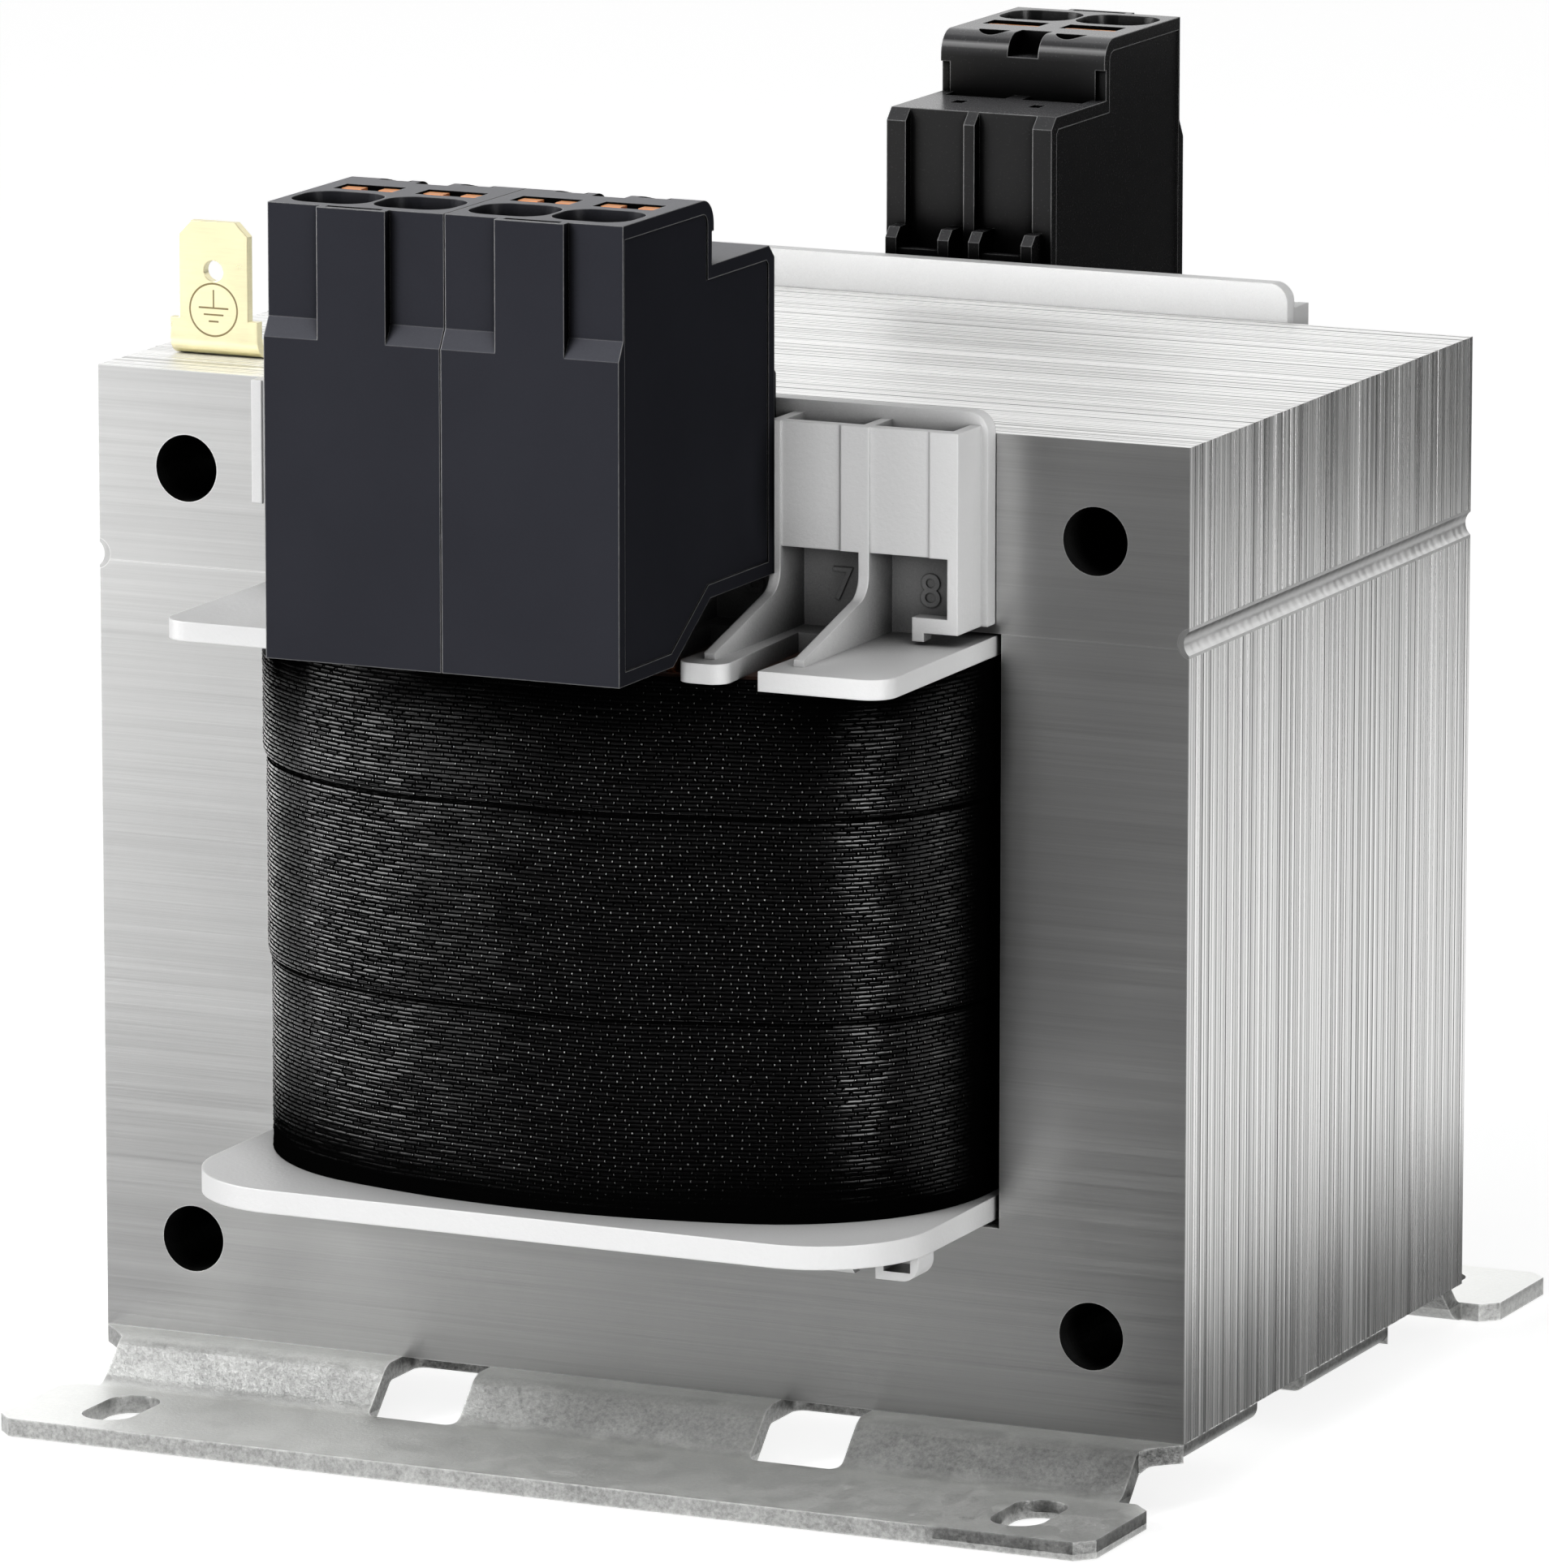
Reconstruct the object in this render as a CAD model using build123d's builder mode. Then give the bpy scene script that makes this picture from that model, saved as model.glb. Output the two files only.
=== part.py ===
from build123d import *
import os
from math import radians, tan

# Isolation transformer on a welded E and I lamination core, in millimetres.
# The origin is on the mounting plane, under the centre of the core. X runs along the core's
# width, Y through its stack from front to back, Z up.

# Core: E laminations below, I laminations on top, welded together at both sides
core_width = 96.0
stack_depth = 59.7
tongue_width = 32.0
outer_leg_width = 16.0
yoke_height = 16.0
window_height = 48.0
core_hole_spacing_x = 80.0
core_hole_spacing_z = 64.0
core_hole_diameter = 5.5
weld_groove_radius = 1.25
weld_groove_centre_out = 0.3
weld_groove_rise = 0.45
weld_bead_fill = 0.5

# Feet: folded sheet brackets welded under the core
foot_sheet = 1.5
foot_drop = 3.4
foot_web_angle = 45.0
foot_flange_overhang = 2.7
foot_bend_radius = 0.8
foot_strip_reach = 19.5
foot_strip_overhang = 0.3
foot_strip_corner = 1.4
foot_neck_inset = 2.7
foot_lip_round = 1.1
foot_window_width = 8.0
foot_window_offset = 17.0
foot_window_corner = 1.0
foot_window_under_core = 3.0
foot_slot_width = 4.5
foot_slot_length = 8.5
foot_slot_x = 40.2
foot_slot_reach = 12.6
front_lip_near = 0.0
front_lip_far = 15.2
rear_lip_near = 16.5
rear_lip_far = 34.25

# Bobbin: one white moulding with two flanges and a terminal wall at each end
tongue_clearance = 0.2
window_clearance = 0.5
tube_wall = 1.2
bottom_flange_gap = 0.6
bottom_flange_thickness = 1.9
bottom_flange_reach = 22.0
bottom_flange_corner = 9.5
top_flange_gap = 0.2
top_flange_thickness = 1.6
top_flange_reach = 21.2
top_flange_corner = 2.2
core_face_gap = 0.1
wall_thickness = 1.5
wall_corner = 1.6
front_wall_rise = 17.8
rear_wall_rise = 19.2
cell_pitch = 7.62
rib_thickness = 0.9
rib_foot_reach = 18.3
rib_foot_height = 0.5
rib_ramp_rise = 3.7
rib_knee_round = 1.9
cell_reach = 6.1
cell_wall = 0.9
cell_rise = 6.8
cell_height = 10.0
cell_strip_width = 2.0
cell_strip_depth = 0.2
comb_slot_tip = 3.3
comb_slot_root = 4.6
comb_slot_start = 5.0
comb_finger_setback = 0.9
comb_finger_round = 1.4
guide_rise = 0.8
guide_arm_height = 1.2
guide_arm_length = 3.0
guide_arm_depth = 1.5
guide_tip_width = 1.0
guide_tip_gap = 0.3
rail_reach = 12.0
rail_height = 2.2
rail_thickness = 1.0
rail_left_inset = 10.3
rail_notch_pitch = 8.6
rail_notch_top = 3.7
rail_notch_bottom = 2.2
loop_inset = 0.5
loop_length = 3.7
loop_strap = 0.7
loop_depth = 3.0

# Coil: primary, insulation, secondary and the outer tape, wound round the bobbin's tube
coil_gap = 0.1
primary_share = 0.48
primary_reach = 8.0
insulation_thickness = 0.4
secondary_reach = 8.6
coil_side_inset = 0.2
tape_thickness = 0.8
coil_corner_first = 8.0
coil_corner_last = 17.0
coil_bow_first = 1.2
coil_bow_last = 8.0
lower_seam_height = 16.0
upper_seam_height = 32.5
band_step = 0.3
band_edge_height = 0.9

# Terminal blocks: two-pole push-in modules with orange release buttons
block_pitch = 15.24
block_width = 15.14
block_seat_gap = 0.05
block_depth = 28.4
block_height = 35.7
block_rise = 0.3
pole_offset = 3.55
block_under_rise = 4.3
block_under_inner = 11.9
block_under_outer = 18.7
tier_height = 30.5
tier_depth = 11.2
tier_chamfer = 1.0
shoulder_round = 2.0
relief_depth = 0.85
relief_bottom = 25.3
relief_ramp = 1.5
rider_width = 5.9
marker_slot_width = 4.8
marker_slot_depth = 0.6
marker_slot_rim = 0.4
marker_slot_drop = 3.0
side_panel_inset = 1.1
side_panel_depth = 0.12
inner_rib_end = 1.75
inner_rib_middle = 1.0
inner_relief = 1.0
entry_width = 6.8
entry_depth = 6.0
entry_corner = 2.2
entry_centre = 23.4
entry_funnel = 2.0
entry_narrowing = 0.5
button_width = 4.9
button_depth = 2.3
button_centre = 17.95
button_gap = 0.12
button_flush = 0.15
button_shoulder = 0.6
button_shoulder_height = 1.0
button_wall = 2.0
button_travel = 1.5
button_stem_width = 3.4
button_stem_depth = 1.8
button_notch = 1.5
button_step = 0.15
button_notch_depth = 1.2
stem_clearance = 0.2
test_notch_radius = 1.4
test_notch_centre = 13.6
test_notch_depth = 3.0
middle_notch_width = 2.8
middle_notch_length = 3.2
middle_notch_drop = 1.9
base_slot_width = 5.6
base_slot_depth = 1.9
base_slot_drop = 2.0
pin_hole_width = 1.05
pin_hole_length = 1.5
pin_hole_centre = 6.1
pin_hole_drop = 1.0
latch_recess_width = 0.85
latch_recess_height = 2.6
latch_recess_depth = 0.35
claw_pitch = 4.8
claw_width = 1.0
claw_top = 20.7
claw_lip = 0.7
claw_point = 0.5
claw_chamfer = 0.8
claw_hook_drop = 2.0
claw_clearance = 0.3
claw_bar_bottom = 17.0
claw_bar_height = 2.0
claw_bar_depth = 0.8

# Contact chamber inside each pole
chamber_width = 6.1
chamber_floor = 7.0
chamber_top = 27.0
chamber_inner = 8.2
chamber_outer = 26.6
chamber_clearance = 0.05
contact_thickness = 0.9
contact_width = 4.6
contact_top = 24.5
contact_tail_width = 2.0
contact_tail_reach = 9.2
contact_tail_bottom = 1.4
contact_bend = 1.2
contact_tail_bend = 0.5
contact_shoulder = 1.6
tail_slot_gap = 0.2
spring_thickness = 0.4
spring_width = 4.4
spring_foot = 19.0
spring_back = 10.4
spring_top = 22.6
spring_tip_height = 13.5
spring_tip_gap = 0.3
spring_bend = 2.2

# Winding ends: enamelled wires from the coil to the tails of the contacts
lead_diameter = 1.1
lead_top = 3.4

# Earth tab: blade connector welded on the core's top
tab_thickness = 0.8
tab_blade_width = 6.3
tab_base_width = 8.0
tab_base_height = 3.1
tab_height = 11.15
tab_tip_chamfer = 1.1
tab_hole_diameter = 1.7
tab_hole_height = 7.1
tab_foot_length = 5.5
tab_bend_radius = 0.8
tab_inset = 7.03
tab_setback = 6.9

# Derived places
core_bottom = foot_drop + foot_sheet
window_top = yoke_height + window_height
core_height = window_top + yoke_height
half_stack = stack_depth / 2
half_window_outer = core_width / 2 - outer_leg_width
flange_half = half_window_outer - window_clearance
tube_half_x = tongue_width / 2 + tongue_clearance + tube_wall
tube_half_y = half_stack + tongue_clearance + tube_wall
bottom_flange_top = yoke_height + bottom_flange_gap + bottom_flange_thickness
top_flange_top = window_top - top_flange_gap
top_flange_bottom = top_flange_top - top_flange_thickness
coil_bottom = bottom_flange_top
coil_top = top_flange_bottom
cell_count = 2 * int(flange_half // cell_pitch)
cells_half = cell_pitch * cell_count / 2
cell_bottom = window_top + cell_rise
cell_top = cell_bottom + cell_height
guide_bottom = window_top + guide_rise
block_bottom = window_top + block_rise
block_face = cell_reach + block_seat_gap
rail_left = flange_half - rail_left_inset
loop_end = flange_half - loop_inset
rail_right = loop_end - loop_length
rail_notch_count = int((rail_left + rail_right) // rail_notch_pitch) + 1


def level(height):
    """Plane parallel to the mounting plane, a height above the core's underside."""
    return Plane.XY.offset(core_bottom + height)


def end_plan(side, height):
    """Plan plane at one end face of the core: y points out of the face, front (-1) or rear (1)."""
    return Plane(
        origin=(0, side * half_stack, core_bottom + height), x_dir=(side, 0, 0), z_dir=(0, 0, 1)
    )


def end_section(side, x=0.0):
    """Upright plane across the core's width: x points out of the end face, y up."""
    return Plane(
        origin=(x * side, side * half_stack, core_bottom), x_dir=(0, side, 0), z_dir=(side, 0, 0)
    )


def end_front(side, reach):
    """Upright plane parallel to the end face, a reach away from it: its normal points outward."""
    return Plane(
        origin=(0, side * (half_stack + reach), core_bottom),
        x_dir=(-side, 0, 0),
        z_dir=(0, side, 0),
    )


def finish(part, name):
    """Label a finished piece and write its file."""
    part.label = name
    export_step(part, f"parts/{name}.step")


os.makedirs("parts", exist_ok=True)

# E laminations: back yoke, two outer legs and the tongue, with two fixing holes
with BuildPart() as e_lamination_stack:
    with BuildSketch(Plane.XZ) as e_outline:
        with Locations((0, core_bottom + window_top / 2)):
            Rectangle(core_width, window_top)
        window_middle = (half_window_outer + tongue_width / 2) / 2
        with Locations(
            (-window_middle, core_bottom + yoke_height + window_height / 2),
            (window_middle, core_bottom + yoke_height + window_height / 2),
        ):
            Rectangle(half_window_outer - tongue_width / 2, window_height, mode=Mode.SUBTRACT)
        with Locations((0, core_bottom + (core_height - core_hole_spacing_z) / 2)):
            with GridLocations(core_hole_spacing_x, 0, 2, 1):
                Circle(core_hole_diameter / 2, mode=Mode.SUBTRACT)
        groove_x = core_width / 2 + weld_groove_centre_out
        groove_z = core_bottom + window_top + weld_groove_rise
        with Locations((-groove_x, groove_z), (groove_x, groove_z)):
            Circle(weld_groove_radius, mode=Mode.SUBTRACT)
    extrude(amount=half_stack, both=True)
finish(e_lamination_stack.part, "e_lamination_stack")

# I laminations: the top yoke that closes the magnetic circuit
with BuildPart() as i_lamination_stack:
    with BuildSketch(Plane.XZ) as i_outline:
        with Locations((0, core_bottom + window_top + yoke_height / 2)):
            Rectangle(core_width, yoke_height)
        with Locations((0, core_bottom + (core_height + core_hole_spacing_z) / 2)):
            with GridLocations(core_hole_spacing_x, 0, 2, 1):
                Circle(core_hole_diameter / 2, mode=Mode.SUBTRACT)
        with Locations((-groove_x, groove_z), (groove_x, groove_z)):
            Circle(weld_groove_radius, mode=Mode.SUBTRACT)
    extrude(amount=half_stack, both=True)
finish(i_lamination_stack.part, "i_lamination_stack")

# Weld beads along the seam between the two stacks, hollow on the outside
for side, name in ((-1, "weld_seam_left"), (1, "weld_seam_right")):
    with BuildPart() as weld_seam:
        with BuildSketch(Plane.XZ) as bead_outline:
            with Locations((side * groove_x, groove_z)):
                Circle(weld_groove_radius)
            with Locations((side * (groove_x + weld_bead_fill), groove_z)):
                Circle(weld_groove_radius, mode=Mode.SUBTRACT)
            with Locations((side * core_width / 2, groove_z)):
                Rectangle(core_width, 4 * weld_groove_radius, align=(
                    Align.MAX if side > 0 else Align.MIN, Align.CENTER), mode=Mode.INTERSECT)
        extrude(amount=half_stack, both=True)
    finish(weld_seam.part, name)


def foot_bracket(side, lip_near, lip_far):
    """Folded foot: a flange under the core, a sloping web and a slotted strip."""
    web_run = foot_drop / tan(radians(foot_web_angle))
    web_end = foot_flange_overhang + web_run
    half_core = core_width / 2
    half_neck = half_core - foot_neck_inset
    half_strip = half_core + foot_strip_overhang
    strip_start = web_end + foot_sheet * tan(radians(foot_web_angle / 2))
    with BuildPart() as bracket:
        with BuildSketch(end_section(side)) as section:
            with BuildLine():
                FilletPolyline(
                    (-lip_far, 0),
                    (foot_flange_overhang, 0),
                    (web_end, -foot_drop),
                    (foot_strip_reach, -foot_drop),
                    radius=foot_bend_radius + foot_sheet,
                )
                offset(amount=foot_sheet, side=Side.RIGHT)
            make_face()
        extrude(amount=half_strip, both=True)
        with BuildSketch(end_plan(side, -foot_drop - foot_sheet)) as plan:
            with BuildLine():
                Polyline(
                    (-half_core, -lip_far),
                    (-half_core, -lip_near),
                    (-half_neck, -lip_near + foot_neck_inset),
                    (-half_neck, strip_start),
                    (-half_strip + foot_strip_corner, strip_start),
                    (-half_strip, strip_start + foot_strip_corner),
                    (-half_strip, foot_strip_reach - foot_strip_corner),
                    (-half_strip + foot_strip_corner, foot_strip_reach),
                    (half_strip - foot_strip_corner, foot_strip_reach),
                    (half_strip, foot_strip_reach - foot_strip_corner),
                    (half_strip, strip_start + foot_strip_corner),
                    (half_strip - foot_strip_corner, strip_start),
                    (half_neck, strip_start),
                    (half_neck, -lip_near + foot_neck_inset),
                    (half_core, -lip_near),
                    (half_core, -lip_far),
                    close=True,
                )
            make_face()
            window_length = strip_start + foot_window_under_core
            with Locations((0, strip_start - window_length / 2)):
                with GridLocations(2 * foot_window_offset, 0, 2, 1):
                    RectangleRounded(
                        foot_window_width, window_length, foot_window_corner, mode=Mode.SUBTRACT
                    )
            with Locations((0, foot_slot_reach)):
                with GridLocations(2 * foot_slot_x, 0, 2, 1):
                    SlotOverall(
                        foot_slot_length, foot_slot_width, rotation=90, mode=Mode.SUBTRACT
                    )
        extrude(amount=foot_drop + foot_sheet, mode=Mode.INTERSECT)
        with BuildSketch(end_front(side, -lip_far)) as lip_corners:
            corner_middle = half_core - foot_lip_round / 2
            with Locations((0, foot_lip_round / 2 - foot_sheet)):
                with GridLocations(2 * corner_middle, 0, 2, 1):
                    Rectangle(foot_lip_round, foot_lip_round)
            with Locations((0, foot_lip_round - foot_sheet)):
                with GridLocations(2 * (half_core - foot_lip_round), 0, 2, 1):
                    Circle(foot_lip_round, mode=Mode.SUBTRACT)
        extrude(amount=lip_far - lip_near, mode=Mode.SUBTRACT)
    return bracket.part


finish(foot_bracket(-1, front_lip_near, front_lip_far), "foot_bracket_front")
finish(foot_bracket(1, rear_lip_near, rear_lip_far), "foot_bracket_rear")


# Bobbin, tube and flanges first, then a terminal wall with ribs and cells at each end
with BuildPart() as bobbin:
    with BuildSketch(level(yoke_height + bottom_flange_gap)) as tube:
        Rectangle(2 * tube_half_x, 2 * tube_half_y)
    extrude(amount=top_flange_top - yoke_height - bottom_flange_gap)
    with BuildSketch(level(yoke_height + bottom_flange_gap)) as bottom_flange:
        RectangleRounded(
            2 * flange_half, stack_depth + 2 * bottom_flange_reach, bottom_flange_corner
        )
    extrude(amount=bottom_flange_thickness)
    with BuildSketch(level(top_flange_bottom)) as top_flange:
        RectangleRounded(2 * flange_half, stack_depth + 2 * top_flange_reach, top_flange_corner)
    extrude(amount=top_flange_thickness)

    last_rib = cell_count // 2 - 1
    comb_half = (last_rib - 0.5) * cell_pitch
    for side in (-1, 1):
        # The wire slots between the fingers of the top flange widen towards their roots
        with BuildSketch(end_plan(side, top_flange_bottom)) as comb_slots:
            with BuildLine():
                Polyline(
                    (-comb_slot_root / 2, comb_slot_start),
                    (comb_slot_root / 2, comb_slot_start),
                    (comb_slot_tip / 2, top_flange_reach),
                    (-comb_slot_tip / 2, top_flange_reach),
                    close=True,
                )
            slot_shape = make_face(mode=Mode.PRIVATE)
            with Locations(*[((gap + 0.5) * cell_pitch, 0) for gap in range(-last_rib, last_rib)]):
                add(slot_shape)
            with Locations((0, top_flange_reach - comb_finger_setback / 2)):
                Rectangle(2 * comb_half, comb_finger_setback)
        extrude(amount=top_flange_thickness, mode=Mode.SUBTRACT)
        finger_y = half_stack + top_flange_reach - comb_finger_setback
        finger_corners = [
            edge
            for edge in bobbin.edges().filter_by(Axis.Z)
            if abs(edge.center().Y * side - finger_y) < 0.01 and abs(edge.center().X) < comb_half
        ]
        fillet(finger_corners, comb_finger_round)

    for side, wall_rise in ((-1, front_wall_rise), (1, rear_wall_rise)):
        wall_top = window_top + wall_rise
        with BuildSketch(end_front(side, core_face_gap)) as wall:
            with Locations((0, (wall_top + top_flange_bottom) / 2)):
                Rectangle(2 * flange_half, wall_top - top_flange_bottom)
            fillet(wall.vertices().group_by(Axis.Y)[-1], wall_corner)
        extrude(amount=wall_thickness)
        # Beside the wire guide the wall stops short of the flange
        with BuildSketch(end_plan(side, top_flange_top)) as wall_gap:
            with Locations((-flange_half, 0)):
                Rectangle(
                    flange_half - cells_half + guide_arm_length,
                    core_face_gap + wall_thickness,
                    align=(Align.MIN, Align.MIN),
                )
        extrude(amount=guide_bottom - top_flange_top, mode=Mode.SUBTRACT)

        # Ribs between the cells run down into the fingers of the flange in a curved foot
        rib_planes = [end_section(side, rib * cell_pitch) for rib in range(-last_rib, last_rib + 1)]
        with BuildSketch(*rib_planes) as rib_outline:
            with BuildLine():
                Polyline(
                    (core_face_gap, top_flange_bottom),
                    (rib_foot_reach, top_flange_bottom),
                    (rib_foot_reach, top_flange_top + rib_foot_height),
                    (cell_reach, top_flange_top + rib_ramp_rise),
                    (cell_reach, cell_top),
                    (core_face_gap, cell_top),
                    close=True,
                )
            make_face()
            ramp_end = (cell_reach, top_flange_top + rib_ramp_rise)
            fillet(rib_outline.vertices().sort_by_distance(ramp_end)[0], rib_knee_round)
        extrude(amount=rib_thickness / 2, both=True)

        # Row of open cells: a front wall with raised strips, closed by a wall at each end
        with BuildSketch(end_plan(side, cell_bottom)) as cell_fronts:
            with Locations((0, cell_reach - cell_strip_depth - cell_wall / 2)):
                Rectangle(2 * cells_half, cell_wall)
            first_strip = -cells_half + cell_strip_width / 2
            with Locations(*[
                (first_strip + cell * cell_pitch, cell_reach - (cell_wall + cell_strip_depth) / 2)
                for cell in range(cell_count)
            ]):
                Rectangle(cell_strip_width, cell_wall + cell_strip_depth)
        extrude(amount=cell_top - cell_bottom)
        with BuildSketch(end_plan(side, cell_bottom)) as cell_ends:
            with Locations((0, (cell_reach + core_face_gap) / 2)):
                with GridLocations(2 * cells_half, 0, 2, 1):
                    Rectangle(rib_thickness, cell_reach - core_face_gap)
        extrude(amount=cell_top - cell_bottom)

        # One end wall runs on down to a small wire guide over the flange
        guide_end = -cells_half - rib_thickness / 2
        with BuildSketch(end_plan(side, guide_bottom)) as guide_wall:
            with Locations((guide_end, core_face_gap)):
                Rectangle(
                    rib_thickness, cell_reach - core_face_gap, align=(Align.MIN, Align.MIN)
                )
        extrude(amount=cell_bottom - guide_bottom)
        with BuildSketch(end_plan(side, guide_bottom)) as guide_arm:
            with Locations((guide_end, cell_reach)):
                Rectangle(
                    rib_thickness + guide_arm_length, guide_arm_depth, align=(Align.MIN, Align.MAX)
                )
        extrude(amount=guide_arm_height)
        with BuildSketch(end_plan(side, top_flange_top + guide_tip_gap)) as guide_tip:
            with Locations((guide_end + rib_thickness + guide_arm_length, cell_reach)):
                Rectangle(guide_tip_width, guide_arm_depth, align=(Align.MAX, Align.MAX))
        extrude(amount=guide_bottom - top_flange_top - guide_tip_gap)

        # Rail of hooked teeth under the bottom flange, with a wire loop at one end
        rail_top = yoke_height + bottom_flange_gap
        with BuildSketch(end_front(side, rail_reach - rail_thickness / 2)) as rail:
            with BuildLine():
                Polyline(
                    (-rail_left, rail_top),
                    (-rail_left + rail_height, rail_top - rail_height),
                    (rail_right, rail_top - rail_height),
                    (rail_right, rail_top),
                    close=True,
                )
            make_face()
            with BuildLine():
                Polyline(
                    (0, rail_top),
                    (-rail_notch_top, rail_top),
                    (-rail_notch_bottom, rail_top - rail_height),
                    (0, rail_top - rail_height),
                    close=True,
                )
            notch_shape = make_face(mode=Mode.PRIVATE)
            with Locations(*[
                (rail_right - notch * rail_notch_pitch, 0) for notch in range(rail_notch_count)
            ]):
                add(notch_shape, mode=Mode.SUBTRACT)
        extrude(amount=rail_thickness)
        with BuildSketch(end_front(side, rail_reach - loop_depth / 2)) as loop:
            with Locations((rail_right, rail_top)):
                Rectangle(loop_end - rail_right, rail_height, align=(Align.MIN, Align.MAX))
            fillet(loop.vertices().group_by(Axis.Y)[0].sort_by(Axis.X)[-1], 2 * loop_strap)
            with Locations((rail_right + loop_strap, rail_top)):
                Rectangle(
                    loop_end - rail_right - 2 * loop_strap,
                    rail_height - loop_strap,
                    align=(Align.MIN, Align.MAX),
                    mode=Mode.SUBTRACT,
                )
        extrude(amount=loop_depth)

    # The tongue of the core passes through the tube
    with BuildSketch(level(yoke_height)) as tube_bore:
        Rectangle(tongue_width + 2 * tongue_clearance, stack_depth + 2 * tongue_clearance)
    extrude(amount=window_height, mode=Mode.SUBTRACT)
finish(bobbin.part, "bobbin")


def wound_outline(half_x, reach, bow, corner):
    """Outline of one wound layer: flat beside the tongue, bowed over both ends of the stack."""
    half_y = half_stack + reach
    with BuildSketch() as outline:
        with BuildLine():
            ThreePointArc((-half_x, bow - half_y), (0, -half_y), (half_x, bow - half_y))
            Line((half_x, bow - half_y), (half_x, half_y - bow))
            ThreePointArc((half_x, half_y - bow), (0, half_y), (-half_x, half_y - bow))
            Line((-half_x, half_y - bow), (-half_x, bow - half_y))
        make_face()
        fillet(outline.vertices(), corner)
    return outline.sketch


# Each layer of the coil starts on the outline of the one inside it
secondary_half_x = flange_half - coil_side_inset - 2 * band_step - tape_thickness
primary_half_x = tube_half_x + primary_share * (secondary_half_x - tube_half_x)
primary_end = tube_half_y - half_stack + primary_reach
primary_outline = wound_outline(primary_half_x, primary_end, coil_bow_first, coil_corner_first)
insulation_outline = wound_outline(
    primary_half_x + insulation_thickness,
    primary_end + insulation_thickness,
    coil_bow_first,
    coil_corner_first + insulation_thickness,
)
secondary_end = primary_end + insulation_thickness + secondary_reach
secondary_outline = wound_outline(
    secondary_half_x, secondary_end, coil_bow_last, coil_corner_last
)
coil_height = coil_top - coil_bottom

with BuildPart() as primary_winding:
    with BuildSketch(level(coil_bottom)) as primary_section:
        add(primary_outline)
        Rectangle(
            2 * (tube_half_x + coil_gap), 2 * (tube_half_y + coil_gap), mode=Mode.SUBTRACT
        )
    extrude(amount=coil_height)
finish(primary_winding.part, "primary_winding")

with BuildPart() as winding_insulation:
    with BuildSketch(level(coil_bottom)) as insulation_section:
        add(insulation_outline)
        add(primary_outline, mode=Mode.SUBTRACT)
    extrude(amount=coil_height)
finish(winding_insulation.part, "winding_insulation")

with BuildPart() as secondary_winding:
    with BuildSketch(level(coil_bottom)) as secondary_section:
        add(secondary_outline)
        add(insulation_outline, mode=Mode.SUBTRACT)
    extrude(amount=coil_height)
finish(secondary_winding.part, "secondary_winding")


def tape_band(band, bottom, top):
    """One band of the outer tape, a little proud of the one below, with a sloping lower edge."""
    grown = tape_thickness + band * band_step
    with BuildPart() as band_ring:
        with BuildSketch(level(bottom)):
            add(
                wound_outline(
                    secondary_half_x + grown,
                    secondary_end + grown,
                    coil_bow_last,
                    coil_corner_last + grown,
                )
            )
        extrude(amount=top - bottom)
        if band > 0:
            lower_edges = band_ring.edges().group_by(Axis.Z)[0]
            lower_face = band_ring.faces().sort_by(Axis.Z)[0]
            chamfer(lower_edges, band_step, band_edge_height, reference=lower_face)
    return band_ring.part


# Outer tape in three bands, one above the other
band_levels = (
    coil_bottom, coil_bottom + lower_seam_height, coil_bottom + upper_seam_height, coil_top
)
tape_bands = [
    tape_band(band, bottom, top)
    for band, (bottom, top) in enumerate(zip(band_levels, band_levels[1:]))
]
with BuildPart() as outer_tape:
    add(tape_bands)
    with BuildSketch(level(coil_bottom)):
        add(secondary_outline)
    extrude(amount=coil_height, mode=Mode.SUBTRACT)
finish(outer_tape.part, "outer_tape")


# Terminal block, in its own frame: x across the two poles, y outward from the inner face and
# z up from its lowest edge. All three blocks are the same mouldings.
def pole_section(x):
    """Upright section plane of the block: x of the plane points outward, y up."""
    return Plane.YZ.offset(x)


def block_level(height):
    """Plan plane of the block at a height above its lowest edge."""
    return Plane.XY.offset(height)


poles = (-pole_offset, pole_offset)
cell_front_top = cell_top - block_bottom
cell_front_inside = cell_reach - cell_strip_depth - cell_wall - block_face
claw_under = cell_front_top + claw_clearance
claw_back = cell_front_inside - claw_clearance
claw_tip = claw_back - claw_lip
shoulder_top = block_height - button_wall - button_gap
shoulder_bottom = shoulder_top - button_shoulder_height
stem_guide_top = shoulder_bottom - button_travel - button_gap

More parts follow.
